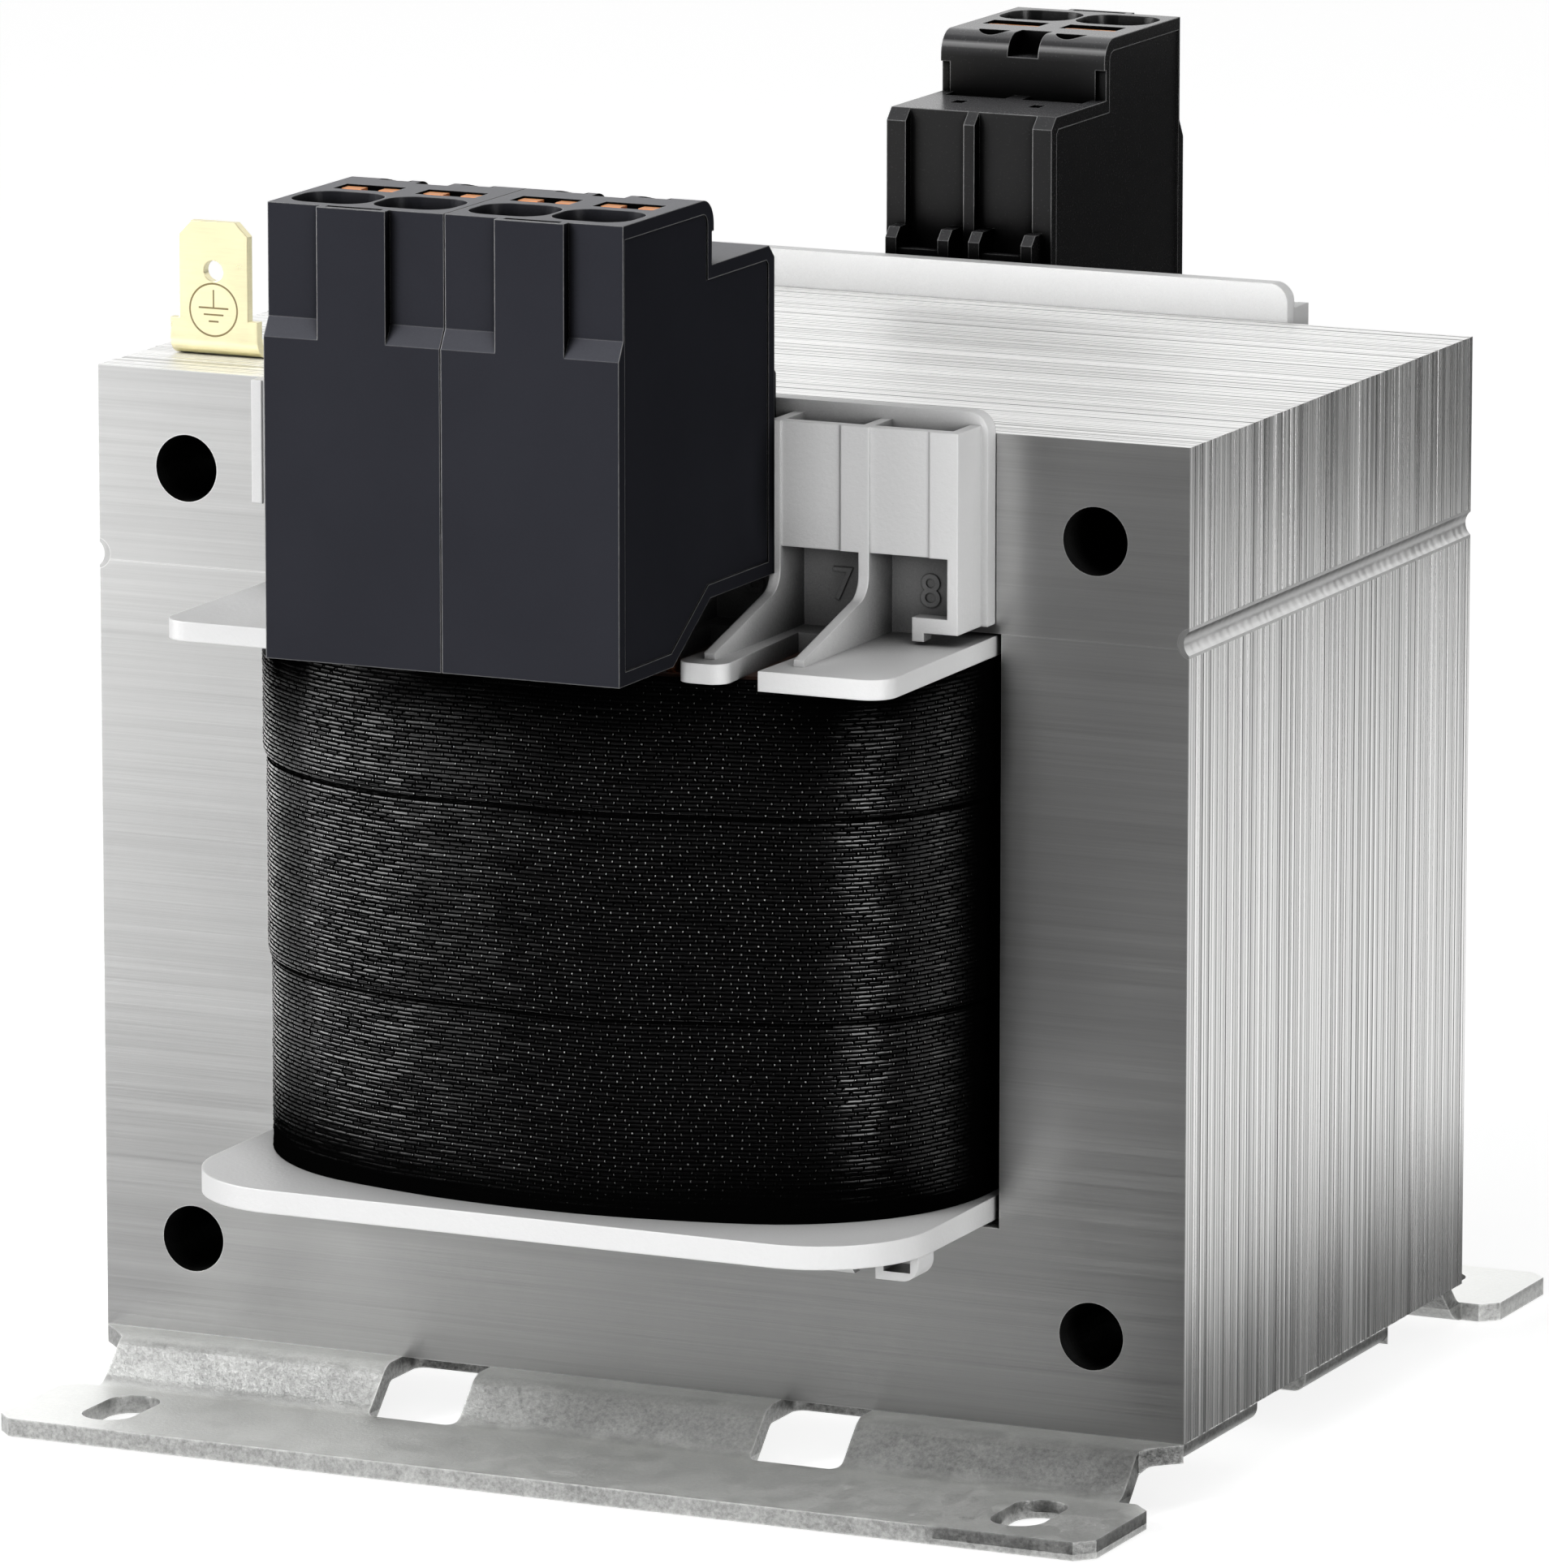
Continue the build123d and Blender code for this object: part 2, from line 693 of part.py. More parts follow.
with BuildPart() as terminal_housing:
    with BuildSketch(pole_section(0)) as housing_side:
        with BuildLine():
            Polyline(
                (0, block_under_rise),
                (0, tier_height - tier_chamfer),
                (tier_chamfer, tier_height),
                (tier_depth, tier_height),
                (tier_depth, block_height),
                (block_depth, block_height),
                (block_depth, 0),
                (block_under_outer, 0),
                (block_under_inner, block_under_rise),
                close=True,
            )
        make_face()
        shoulder = housing_side.vertices().sort_by_distance((tier_depth, block_height))[0]
        fillet(shoulder, shoulder_round)
    extrude(amount=block_width / 2, both=True)

    for side in (-1, 1):
        # Sunk panel on the side face
        with BuildSketch(pole_section(side * block_width / 2)) as side_panel:
            add(housing_side.sketch_local)
            offset(amount=-side_panel_inset, kind=Kind.INTERSECTION)
        extrude(amount=-side * side_panel_depth, mode=Mode.SUBTRACT)
        # The outer face steps back beside the marker rider, over a short ramp
        with BuildSketch(pole_section(side * block_width / 2)) as outer_step:
            with BuildLine():
                Polyline(
                    (block_depth, relief_bottom),
                    (block_depth - relief_depth, relief_bottom + relief_ramp),
                    (block_depth - relief_depth, block_height),
                    (block_depth, block_height),
                    close=True,
                )
            make_face()
        extrude(amount=-side * (block_width - rider_width) / 2, mode=Mode.SUBTRACT)

    # Channels between the ribs of the inner face
    channel_width = block_width / 2 - inner_rib_end - inner_rib_middle / 2
    with BuildSketch(block_level(block_under_rise)) as channels:
        with Locations((0, inner_relief / 2)):
            with GridLocations(channel_width + inner_rib_middle, 0, 2, 1):
                Rectangle(channel_width, inner_relief)
    extrude(amount=tier_height - block_under_rise, mode=Mode.SUBTRACT)

    # Claws that reach over the cell walls of the bobbin, a pair for each cell, and their bars
    cell_middles = (-cell_pitch / 2, cell_pitch / 2)
    claw_middles = [middle + half * claw_pitch / 2 for middle in cell_middles for half in (-1, 1)]
    for claw_x in claw_middles:
        with BuildSketch(pole_section(claw_x)) as claw:
            with BuildLine():
                Polyline(
                    (inner_relief, claw_under),
                    (claw_back, claw_under),
                    (claw_back, claw_under - claw_hook_drop),
                    (claw_tip, claw_under - claw_hook_drop + claw_point),
                    (claw_tip, claw_top - claw_chamfer),
                    (claw_tip + claw_chamfer, claw_top),
                    (inner_relief, claw_top),
                    close=True,
                )
            make_face()
        extrude(amount=claw_width / 2, both=True)
    for middle in cell_middles:
        with BuildSketch(pole_section(middle)) as claw_bar:
            with Locations((claw_back, claw_bar_bottom)):
                Rectangle(claw_bar_depth, claw_bar_height, align=(Align.CENTER, Align.MIN))
        extrude(amount=claw_pitch / 2, both=True)

    # Slot for a marker in the top edge of the rider
    with BuildSketch(block_level(block_height)) as marker_slot:
        with Locations((0, block_depth - marker_slot_rim - marker_slot_depth / 2)):
            Rectangle(marker_slot_width, marker_slot_depth)
    extrude(amount=-marker_slot_drop, mode=Mode.SUBTRACT)

    for pole in poles:
        # Chamber of the contact and its spring, with a slot in the floor for the tail
        with BuildSketch(pole_section(pole)) as chamber:
            with Locations((chamber_inner, chamber_floor)):
                Rectangle(
                    chamber_outer - chamber_inner,
                    chamber_top - chamber_floor,
                    align=(Align.MIN, Align.MIN),
                )
        extrude(amount=chamber_width / 2, both=True, mode=Mode.SUBTRACT)
        with BuildSketch(block_level(block_under_rise)) as tail_slot:
            with Locations((pole, contact_tail_reach)):
                Rectangle(
                    contact_tail_width + 2 * tail_slot_gap, contact_thickness + 2 * tail_slot_gap
                )
        extrude(amount=chamber_floor - block_under_rise, mode=Mode.SUBTRACT)

        # Wire entry: a rounded throat that widens to a funnel at the top
        with BuildSketch(block_level(chamber_top)) as throat:
            with Locations((pole, entry_centre)):
                RectangleRounded(
                    entry_width - 2 * entry_narrowing,
                    entry_depth - 2 * entry_narrowing,
                    entry_corner - entry_narrowing,
                )
        extrude(amount=block_height - chamber_top, mode=Mode.SUBTRACT)
        top_face = terminal_housing.faces().sort_by(Axis.Z)[-1]
        mouth = top_face.inner_wires().sort_by_distance((pole, entry_centre, block_height))[0]
        chamfer(mouth.edges(), entry_narrowing, entry_funnel, reference=top_face)

        # Well of the release button: mouth, room for its shoulder, guide for its stem
        well_steps = (
            (block_height, block_height - button_wall, button_width, button_depth),
            (
                block_height - button_wall,
                stem_guide_top,
                button_width + 2 * button_shoulder,
                button_depth + 2 * button_shoulder,
            ),
            (stem_guide_top, chamber_top, button_stem_width, button_stem_depth),
        )
        for top, bottom, across, deep in well_steps:
            with BuildSketch(block_level(bottom)) as well:
                with Locations((pole, button_centre)):
                    Rectangle(across + 2 * button_gap, deep + 2 * button_gap)
            extrude(amount=top - bottom, mode=Mode.SUBTRACT)

        # Half-round test notch in the shoulder
        with BuildSketch(block_level(block_height)) as test_notch:
            with Locations((pole, test_notch_centre)):
                Circle(test_notch_radius)
                Rectangle(
                    2 * test_notch_radius,
                    test_notch_radius,
                    align=(Align.CENTER, Align.MIN),
                    mode=Mode.SUBTRACT,
                )
        extrude(amount=-test_notch_depth, mode=Mode.SUBTRACT)

        # Slot at the root of the upper tier, and a small pin hole in the lower one
        with BuildSketch(block_level(tier_height)) as tier_slots:
            with Locations((pole, tier_depth)):
                Rectangle(base_slot_width, base_slot_depth, align=(Align.CENTER, Align.MAX))
        extrude(amount=-base_slot_drop, mode=Mode.SUBTRACT)
        with BuildSketch(block_level(tier_height)) as pin_hole:
            with Locations((pole, pin_hole_centre)):
                Rectangle(pin_hole_width, pin_hole_length)
        extrude(amount=-pin_hole_drop, mode=Mode.SUBTRACT)

    # Square notch between the poles, and a latch recess at each end of the upper tier
    with BuildSketch(block_level(block_height)) as middle_notch:
        with Locations((0, tier_depth)):
            Rectangle(
                middle_notch_width, middle_notch_length, align=(Align.CENTER, Align.MIN)
            )
    extrude(amount=-middle_notch_drop, mode=Mode.SUBTRACT)
    with BuildSketch(block_level(tier_height)) as latch_recesses:
        with Locations((0, tier_depth + latch_recess_depth / 2)):
            with GridLocations(block_width - latch_recess_width, 0, 2, 1):
                Rectangle(latch_recess_width, latch_recess_depth)
    extrude(amount=latch_recess_height, mode=Mode.SUBTRACT)

# Contact bar: up the outer wall of the chamber, along its floor and down through it
contact_outer = chamber_outer - chamber_clearance - contact_thickness / 2
contact_floor = chamber_floor + contact_thickness / 2
contact_path = (
    (contact_outer, contact_top),
    (contact_outer, contact_floor),
    (contact_tail_reach, contact_floor),
    (contact_tail_reach, contact_tail_bottom),
)
with BuildPart() as contact_bars:
    for pole in poles:
        with BuildSketch(pole_section(pole)) as contact_section:
            with BuildLine() as contact_line:
                FilletPolyline(*contact_path, radius=(contact_bend, contact_tail_bend))
            trace(contact_line.line, line_width=contact_thickness)
        extrude(amount=contact_tail_width / 2, both=True)
        with BuildSketch(pole_section(pole)) as contact_wide:
            add(contact_section.sketch_local)
            with Locations((contact_tail_reach + contact_shoulder, contact_top)):
                Rectangle(
                    block_depth, 2 * block_height, align=(Align.MIN, Align.CENTER),
                    mode=Mode.INTERSECT,
                )
        extrude(amount=contact_width / 2, both=True)

# Clamp spring: a leaf that stands on the contact and presses the wire against its upright
spring_floor = chamber_floor + contact_thickness + spring_thickness / 2
spring_tip = contact_outer - (contact_thickness + spring_thickness) / 2 - spring_tip_gap
spring_path = (
    (spring_foot, spring_floor),
    (spring_back, spring_floor),
    (spring_back, spring_top),
    (spring_tip, spring_tip_height),
)
with BuildPart() as clamp_springs:
    for pole in poles:
        with BuildSketch(pole_section(pole)) as spring_section:
            with BuildLine() as spring_line:
                FilletPolyline(*spring_path, radius=spring_bend)
            trace(spring_line.line, line_width=spring_thickness)
        extrude(amount=spring_width / 2, both=True)

# Release button: a head in the well's mouth, a shoulder that keeps it in, a stem on the spring
leaf_slope = (spring_top - spring_tip_height) / (spring_tip - spring_back)
stem_inner = button_centre - button_stem_depth / 2
leaf_under_stem = spring_top - leaf_slope * (stem_inner - spring_back)
stem_bottom = leaf_under_stem + spring_thickness + button_travel + stem_clearance
button_top = block_height - button_flush


def release_button(pole):
    """Orange push button of one pole, sliding down on its leaf spring."""
    with BuildPart() as button:
        with BuildSketch(block_level(shoulder_bottom)) as shoulder_plan:
            with Locations((pole, button_centre)):
                Rectangle(
                    button_width + 2 * button_shoulder, button_depth + 2 * button_shoulder
                )
        extrude(amount=button_shoulder_height)
        with BuildSketch(block_level(shoulder_top)) as head_plan:
            with Locations((pole, button_centre)):
                Rectangle(button_width, button_depth)
        extrude(amount=button_top - shoulder_top)
        with BuildSketch(block_level(stem_bottom)) as stem_plan:
            with Locations((pole, button_centre)):
                Rectangle(button_stem_width, button_stem_depth)
        extrude(amount=shoulder_bottom - stem_bottom)
        # The outer half of the head is a step lower, the inner one has a notch for a screwdriver
        with BuildSketch(block_level(button_top)) as head_step:
            with Locations((pole, button_centre)):
                Rectangle(button_width, button_depth / 2, align=(Align.CENTER, Align.MIN))
        extrude(amount=-button_step, mode=Mode.SUBTRACT)
        with BuildSketch(block_level(button_top)) as head_notch:
            with Locations((pole, button_centre)):
                Rectangle(button_notch, button_depth / 2, align=(Align.CENTER, Align.MAX))
        extrude(amount=-button_notch_depth, mode=Mode.SUBTRACT)
    return button.part


def block_place(side, x):
    """Place of a block whose middle stands at x on the front (-1) or rear (1) terminal wall."""
    turn = 0 if side > 0 else 180
    spot = (x, side * (half_stack + block_face), core_bottom + block_bottom)
    return Location(spot, (0, 0, turn))


block_places = {
    "front_left": block_place(-1, -block_pitch / 2),
    "front_right": block_place(-1, block_pitch / 2),
    "rear": block_place(1, 0),
}
for block_name, place in block_places.items():
    finish(place * terminal_housing.part, f"terminal_housing_{block_name}")
    finish(place * contact_bars.part, f"contact_bars_{block_name}")
    finish(place * clamp_springs.part, f"clamp_springs_{block_name}")

# Buttons are numbered from left to right as seen from the front
inner_pole, outer_pole = release_button(-pole_offset), release_button(pole_offset)
button_places = {
    "front_1": block_places["front_left"] * outer_pole,
    "front_2": block_places["front_left"] * inner_pole,
    "front_3": block_places["front_right"] * outer_pole,
    "front_4": block_places["front_right"] * inner_pole,
    "rear_1": block_places["rear"] * inner_pole,
    "rear_2": block_places["rear"] * outer_pole,
}
for button_name, button in button_places.items():
    finish(button, f"release_button_{button_name}")


def winding_leads(side, block_middles):
    """Winding ends that rise from the coil and lie against the outside of the contact tails."""
    wire_reach = block_face + contact_tail_reach + (contact_thickness + lead_diameter) / 2
    lead_middles = [(middle + pole, wire_reach) for middle in block_middles for pole in poles]
    with BuildPart() as leads:
        with BuildSketch(end_plan(side, coil_top)) as lead_section:
            with Locations(*lead_middles):
                Circle(lead_diameter / 2)
        extrude(amount=top_flange_top - coil_top + lead_top)
    return leads.part


finish(winding_leads(-1, (-block_pitch / 2, block_pitch / 2)), "winding_leads_front")
finish(winding_leads(1, (0,)), "winding_leads_rear")

# Earth tab: an upright blade over a wider base, and a foot bent back along the core's top
with BuildPart() as earth_tab:
    tab_x = tab_inset - core_width / 2
    tab_face = tab_setback - half_stack
    with BuildSketch(Plane.YZ.offset(tab_x)) as tab_section:
        with BuildLine() as tab_line:
            FilletPolyline(
                (tab_face + tab_thickness / 2, core_bottom + core_height + tab_height),
                (tab_face + tab_thickness / 2, core_bottom + core_height + tab_thickness / 2),
                (tab_face + tab_foot_length, core_bottom + core_height + tab_thickness / 2),
                radius=tab_bend_radius + tab_thickness / 2,
            )
        trace(tab_line.line, line_width=tab_thickness)
    extrude(amount=tab_base_width / 2, both=True)
    with BuildSketch(Plane.XZ.offset(-tab_face - tab_foot_length)) as tab_front:
        with Locations((tab_x, core_bottom + core_height)):
            Rectangle(tab_base_width, tab_base_height, align=(Align.CENTER, Align.MIN))
            Rectangle(tab_blade_width, tab_height, align=(Align.CENTER, Align.MIN))
        chamfer(tab_front.vertices().group_by(Axis.Y)[-1], tab_tip_chamfer)
        with Locations((tab_x, core_bottom + core_height + tab_hole_height)):
            Circle(tab_hole_diameter / 2, mode=Mode.SUBTRACT)
    extrude(amount=tab_foot_length, mode=Mode.INTERSECT)
finish(earth_tab.part, "earth_tab")
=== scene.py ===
import random
from math import asin, atan2, cos, pi, radians, sin, sqrt, tau

import bmesh
import bpy
from bpy.props import FloatProperty, FloatVectorProperty, PointerProperty
from mathutils import Matrix, Vector
from mathutils.geometry import tessellate_polygon


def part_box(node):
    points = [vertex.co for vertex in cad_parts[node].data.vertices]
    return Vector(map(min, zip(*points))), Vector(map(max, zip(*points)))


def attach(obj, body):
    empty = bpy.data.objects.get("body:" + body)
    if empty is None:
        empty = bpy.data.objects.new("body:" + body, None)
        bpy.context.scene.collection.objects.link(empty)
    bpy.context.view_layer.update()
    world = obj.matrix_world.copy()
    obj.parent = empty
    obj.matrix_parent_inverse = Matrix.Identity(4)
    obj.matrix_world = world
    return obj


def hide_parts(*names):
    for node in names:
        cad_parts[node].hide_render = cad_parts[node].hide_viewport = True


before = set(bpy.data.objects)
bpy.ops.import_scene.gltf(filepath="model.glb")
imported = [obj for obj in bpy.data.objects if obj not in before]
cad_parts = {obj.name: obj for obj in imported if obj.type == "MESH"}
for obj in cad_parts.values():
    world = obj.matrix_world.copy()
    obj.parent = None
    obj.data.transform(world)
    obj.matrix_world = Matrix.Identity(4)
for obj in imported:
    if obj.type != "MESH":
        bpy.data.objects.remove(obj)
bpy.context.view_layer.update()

bl_info = {
    "name": "Isolation transformer",
    "version": (1, 0, 0),
    "blender": (4, 5, 0),
    "location": "3D View > Sidebar > Transformer",
    "description": "Finishes of an open-frame isolation transformer, built round its frame",
    "category": "Object",
}

# One millimetre in metres
MM = 0.001
# Millimetres within which two places count as one
TOUCH = 0.01
BLOCKS = ("front_left", "front_right", "rear")
BUTTONS = ("front_1", "front_2", "front_3", "front_4", "rear_1", "rear_2")


def millimetres(node):
    """Lowest and highest corner of a frame node, in millimetres."""
    low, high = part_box(node)
    return low / MM, high / MM


# Sizes and colours that a user would change


class CoreSizes(bpy.types.PropertyGroup):
    """Sheets of the lamination stacks, in millimetres."""

    sheet: FloatProperty(
        name="Sheet", description="Thickness of one lamination, in mm", default=0.5, min=0.2
    )
    gap: FloatProperty(
        name="Gap", description="Width of the groove between two sheets, in mm", default=0.07
    )
    gap_depth: FloatProperty(
        name="Gap depth", description="Depth of the groove between two sheets, in mm", default=0.07
    )
    unevenness: FloatProperty(
        name="Unevenness", description="Most that a sheet stands back, in mm", default=0.05
    )


class TapeSizes(bpy.types.PropertyGroup):
    """Woven tape round the coil, in millimetres."""

    weft: FloatProperty(
        name="Weft pitch", description="Distance between two threads along the tape, in mm",
        default=0.34,
    )
    warp: FloatProperty(
        name="Warp pitch", description="Distance between two threads across the tape, in mm",
        default=1.36,
    )
    relief: FloatProperty(
        name="Relief", description="Height of a thread over the gap beside it, in mm", default=0.07
    )
    step: FloatProperty(
        name="Band step", description="How far each band stands out over the last, in mm",
        default=0.3,
    )


def colour_property(name, description, red, green, blue):
    """Property that holds a colour."""
    return FloatVectorProperty(
        name=name, description=description, subtype="COLOR", size=4, default=(red, green, blue, 1)
    )


class FinishColours(bpy.types.PropertyGroup):
    """Base colours of the finishes."""

    steel: colour_property("Steel", "Ground silicon steel", 0.60, 0.60, 0.595)
    zinc: colour_property("Zinc", "Galvanised sheet of the feet", 0.72, 0.725, 0.71)
    white: colour_property("White", "Moulding of the bobbin", 0.80, 0.80, 0.80)
    charcoal: colour_property("Charcoal", "Mouldings of the front blocks", 0.033, 0.034, 0.042)
    black: colour_property("Black", "Moulding of the rear terminal block", 0.012, 0.012, 0.0125)
    orange: colour_property("Orange", "Release buttons", 1.0, 0.4, 0.13)
    tape: colour_property("Tape", "Threads of the outer tape", 0.003, 0.003, 0.0033)
    brass: colour_property("Brass", "Earth tab", 0.93, 0.86, 0.56)
    copper: colour_property("Copper", "Enamelled winding wire", 0.22, 0.08, 0.035)
    tin: colour_property("Tin", "Contact bars and clamp springs", 0.66, 0.65, 0.62)


class StudioSizes(bpy.types.PropertyGroup):
    """Camera and light."""

    camera_place: FloatVectorProperty(
        name="Camera", description="Where the camera stands", subtype="TRANSLATION", unit="LENGTH",
        default=(0.41365, -0.90109, 0.24674),
    )
    camera_turn: FloatProperty(
        name="Turn", description="Turn of the view from straight ahead, to the left",
        subtype="ANGLE", default=radians(24.73),
    )
    camera_tilt: FloatProperty(
        name="Tilt", description="How far the view points down", subtype="ANGLE",
        default=radians(11.29),
    )
    camera_roll: FloatProperty(
        name="Roll", description="Turn of the picture about the view", subtype="ANGLE",
        default=radians(0.01),
    )
    lens: FloatProperty(
        name="Lens", description="Focal length on a sensor 36 mm high", unit="CAMERA",
        default=282.5,
    )
    fill: FloatProperty(
        name="Fill", description="Strength of the light from all round", default=0.15
    )
    key: FloatProperty(
        name="Key", description="Brightness of the lamp at the front left", default=9.5
    )
    front: FloatProperty(
        name="Front", description="Brightness of the lamp in front", default=2.5
    )
    side: FloatProperty(
        name="Side", description="Brightness of the lamps on the white mouldings", default=7.5
    )
    top: FloatProperty(
        name="Top", description="Brightness of the lamp overhead", default=0.6
    )
    gleam: FloatProperty(
        name="Gleam", description="Brightness of the boxes that only reflections show", default=9.5
    )


# Shader nodes


def grey(level):
    """Colour of a plain grey level."""
    return (level, level, level, 1)


def feed(socket, value):
    """Give an input socket a link, a colour, a vector or a number."""
    if isinstance(value, Wire):
        socket.id_data.links.new(value.socket, socket)
    elif socket.type == "VECTOR" and isinstance(value, (int, float)):
        socket.default_value = (value, value, value)
    else:
        socket.default_value = value


class Wire:
    """Output socket of a shader node that takes part in arithmetic with sockets and numbers."""

    def __init__(self, socket):
        self.socket = socket

    def maths(self, operation, *terms):
        """Result of a Math node, or of a Vector Math node where a term is a vector."""
        has_vector = any(
            term.socket.type == "VECTOR" if isinstance(term, Wire) else isinstance(term, tuple)
            for term in terms
        )
        kind = "ShaderNodeVectorMath" if has_vector else "ShaderNodeMath"
        node = self.socket.id_data.nodes.new(kind)
        node.operation = operation
        for place, term in enumerate(terms):
            feed(node.inputs[place], term)
        return Wire(node.outputs[0])

    def __add__(self, other):
        return self.maths("ADD", self, other)

    def __radd__(self, other):
        return self.maths("ADD", other, self)

    def __sub__(self, other):
        return self.maths("SUBTRACT", self, other)

    def __rsub__(self, other):
        return self.maths("SUBTRACT", other, self)

    def __mul__(self, other):
        return self.maths("MULTIPLY", self, other)

    def __rmul__(self, other):
        return self.maths("MULTIPLY", other, self)

    def __truediv__(self, other):
        return self.maths("DIVIDE", self, other)

    def __rtruediv__(self, other):
        return self.maths("DIVIDE", other, self)

    def __pow__(self, other):
        return self.maths("POWER", self, other)

    def __lt__(self, other):
        return self.maths("LESS_THAN", self, other)

    def __gt__(self, other):
        return self.maths("GREATER_THAN", self, other)

    def __abs__(self):
        return self.maths("ABSOLUTE", self)

    def floor(self):
        return self.maths("FLOOR", self)

    def fraction(self):
        return self.maths("FRACT", self)

    def sine(self):
        return self.maths("SINE", self)

    def swing(self, amount):
        """A value from 0 to 1 spread evenly about zero, this much from end to end."""
        return (self - 0.5) * amount

    def at_least(self, other):
        return self.maths("MAXIMUM", self, other)

    def at_most(self, other):
        return self.maths("MINIMUM", self, other)


class Nodes:
    """Shader nodes of a material or of the world."""

    def __init__(self, tree):
        self.tree = tree
        self.tree.nodes.clear()

    def node(self, kind, settings=None, inputs=None):
        """Add a node, set it, feed its sockets by name or number, and return its outputs."""
        node = self.tree.nodes.new(kind)
        for key, value in (settings or {}).items():
            if key == "stops":
                self.set_stops(node.color_ramp.elements, value)
            else:
                setattr(node, key, value)
        for key, value in (inputs or {}).items():
            if isinstance(key, int):
                socket = node.inputs[key]
            else:
                socket = next(s for s in node.inputs if s.name == key and s.enabled)
            feed(socket, value)
        return {s.name: Wire(s) for s in node.outputs if s.enabled}

    @staticmethod
    def set_stops(elements, stops):
        """Give a ramp its stops, each a place and a grey level."""
        while len(elements) < len(stops):
            elements.new(0.5)
        for element, (place, level) in zip(elements, stops):
            element.position = place
            element.color = grey(level)

    def backdrop_rays(self):
        """1 on the rays that show the backdrop, 0 on those that only carry its light."""
        path = self.node("ShaderNodeLightPath")
        seen = path["Is Camera Ray"].at_least(path["Is Glossy Ray"])
        return seen.at_least(path["Is Transmission Ray"])


class Finish(Nodes):
    """A procedural material in the making. Its coordinates are millimetres of the frame."""

    def __init__(self, name):
        self.material = bpy.data.materials.new(name)
        self.material.use_nodes = True
        super().__init__(self.material.node_tree)
        self.place = self.node("ShaderNodeTexCoord")["Object"] * (1 / MM)
        self.x, self.y, self.z = self.split(self.place)

    def split(self, vector):
        """The three parts of a vector."""
        parts = self.node("ShaderNodeSeparateXYZ", inputs={"Vector": vector})
        return parts["X"], parts["Y"], parts["Z"]

    def noise(self, vector, scale, detail=3.0, roughness=0.5):
        """Noise from 0 to 1, with its scale in cells per millimetre of the vector."""
        settings = {"noise_dimensions": "3D"}
        inputs = {"Vector": vector, "Scale": scale, "Detail": detail, "Roughness": roughness}
        return self.node("ShaderNodeTexNoise", settings, inputs)["Fac"]

    def chance(self, value):
        """A number from 0 to 1 that differs from one whole value to the next."""
        settings = {"noise_dimensions": "1D"}
        return self.node("ShaderNodeTexWhiteNoise", settings, {"W": value})["Value"]

    def ramp(self, value, stops):
        """Value read off a ramp of grey levels."""
        return self.node("ShaderNodeValToRGB", {"stops": stops}, {"Fac": value})["Color"]

    def blend(self, factor, first, second):
        """Colour between two colours."""
        inputs = {"Factor": factor, "A": first, "B": second}
        return self.node("ShaderNodeMix", {"data_type": "RGBA"}, inputs)["Result"]

    def shaded(self, colour, factor):
        """Colour multiplied by a grey level."""
        settings = {"data_type": "RGBA", "blend_type": "MULTIPLY"}
        inputs = {"Factor": 1.0, "A": colour, "B": factor}
        return self.node("ShaderNodeMix", settings, inputs)["Result"]

    def bump(self, height, normal=None):
        """Normal of a surface raised by a height in millimetres."""
        inputs = {"Strength": 1.0, "Distance": MM, "Height": height}
        if normal is not None:
            inputs["Normal"] = normal
        return self.node("ShaderNodeBump", inputs=inputs)["Normal"]

    def round_edges(self, radius):
        """Normal that rounds the edges by a radius in millimetres, and a mask of those edges."""
        rounded = self.node("ShaderNodeBevel", {"samples": 6}, {"Radius": radius * MM})["Normal"]
        plain = self.node("ShaderNodeNewGeometry")["Normal"]
        product = {"operation": "DOT_PRODUCT"}
        likeness = self.node("ShaderNodeVectorMath", product, {0: rounded, 1: plain})["Value"]
        return rounded, (1 - likeness).at_least(0.0)

    def facing(self, axis):
        """How far the surface faces along an axis, from -1 to 1."""
        normal = self.node("ShaderNodeNewGeometry")["Normal"]
        return self.split(normal)["XYZ".index(axis)]

    def open_air(self, reach):
        """How open a surface is within a reach in millimetres, from 0 to 1."""
        inputs = {"Distance": reach * MM}
        return self.node("ShaderNodeAmbientOcclusion", {"samples": 8}, inputs)["AO"]

    def mixed(self, factor, first, second):
        """Shader between two shaders."""
        return self.node("ShaderNodeMixShader", inputs={0: factor, 1: first, 2: second})["Shader"]

    def principled(self, inputs):
        """Principled shader with these sockets."""
        return self.node("ShaderNodeBsdfPrincipled", inputs=inputs)["BSDF"]

    def done(self, shader):
        """Join the shader to the output and return the material."""
        self.node("ShaderNodeOutputMaterial", inputs={"Surface": shader})
        return self.material


# Finishes


def dress(node, material):
    """Give a frame node one material."""
    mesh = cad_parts[node].data
    mesh.materials.clear()
    mesh.materials.append(material)


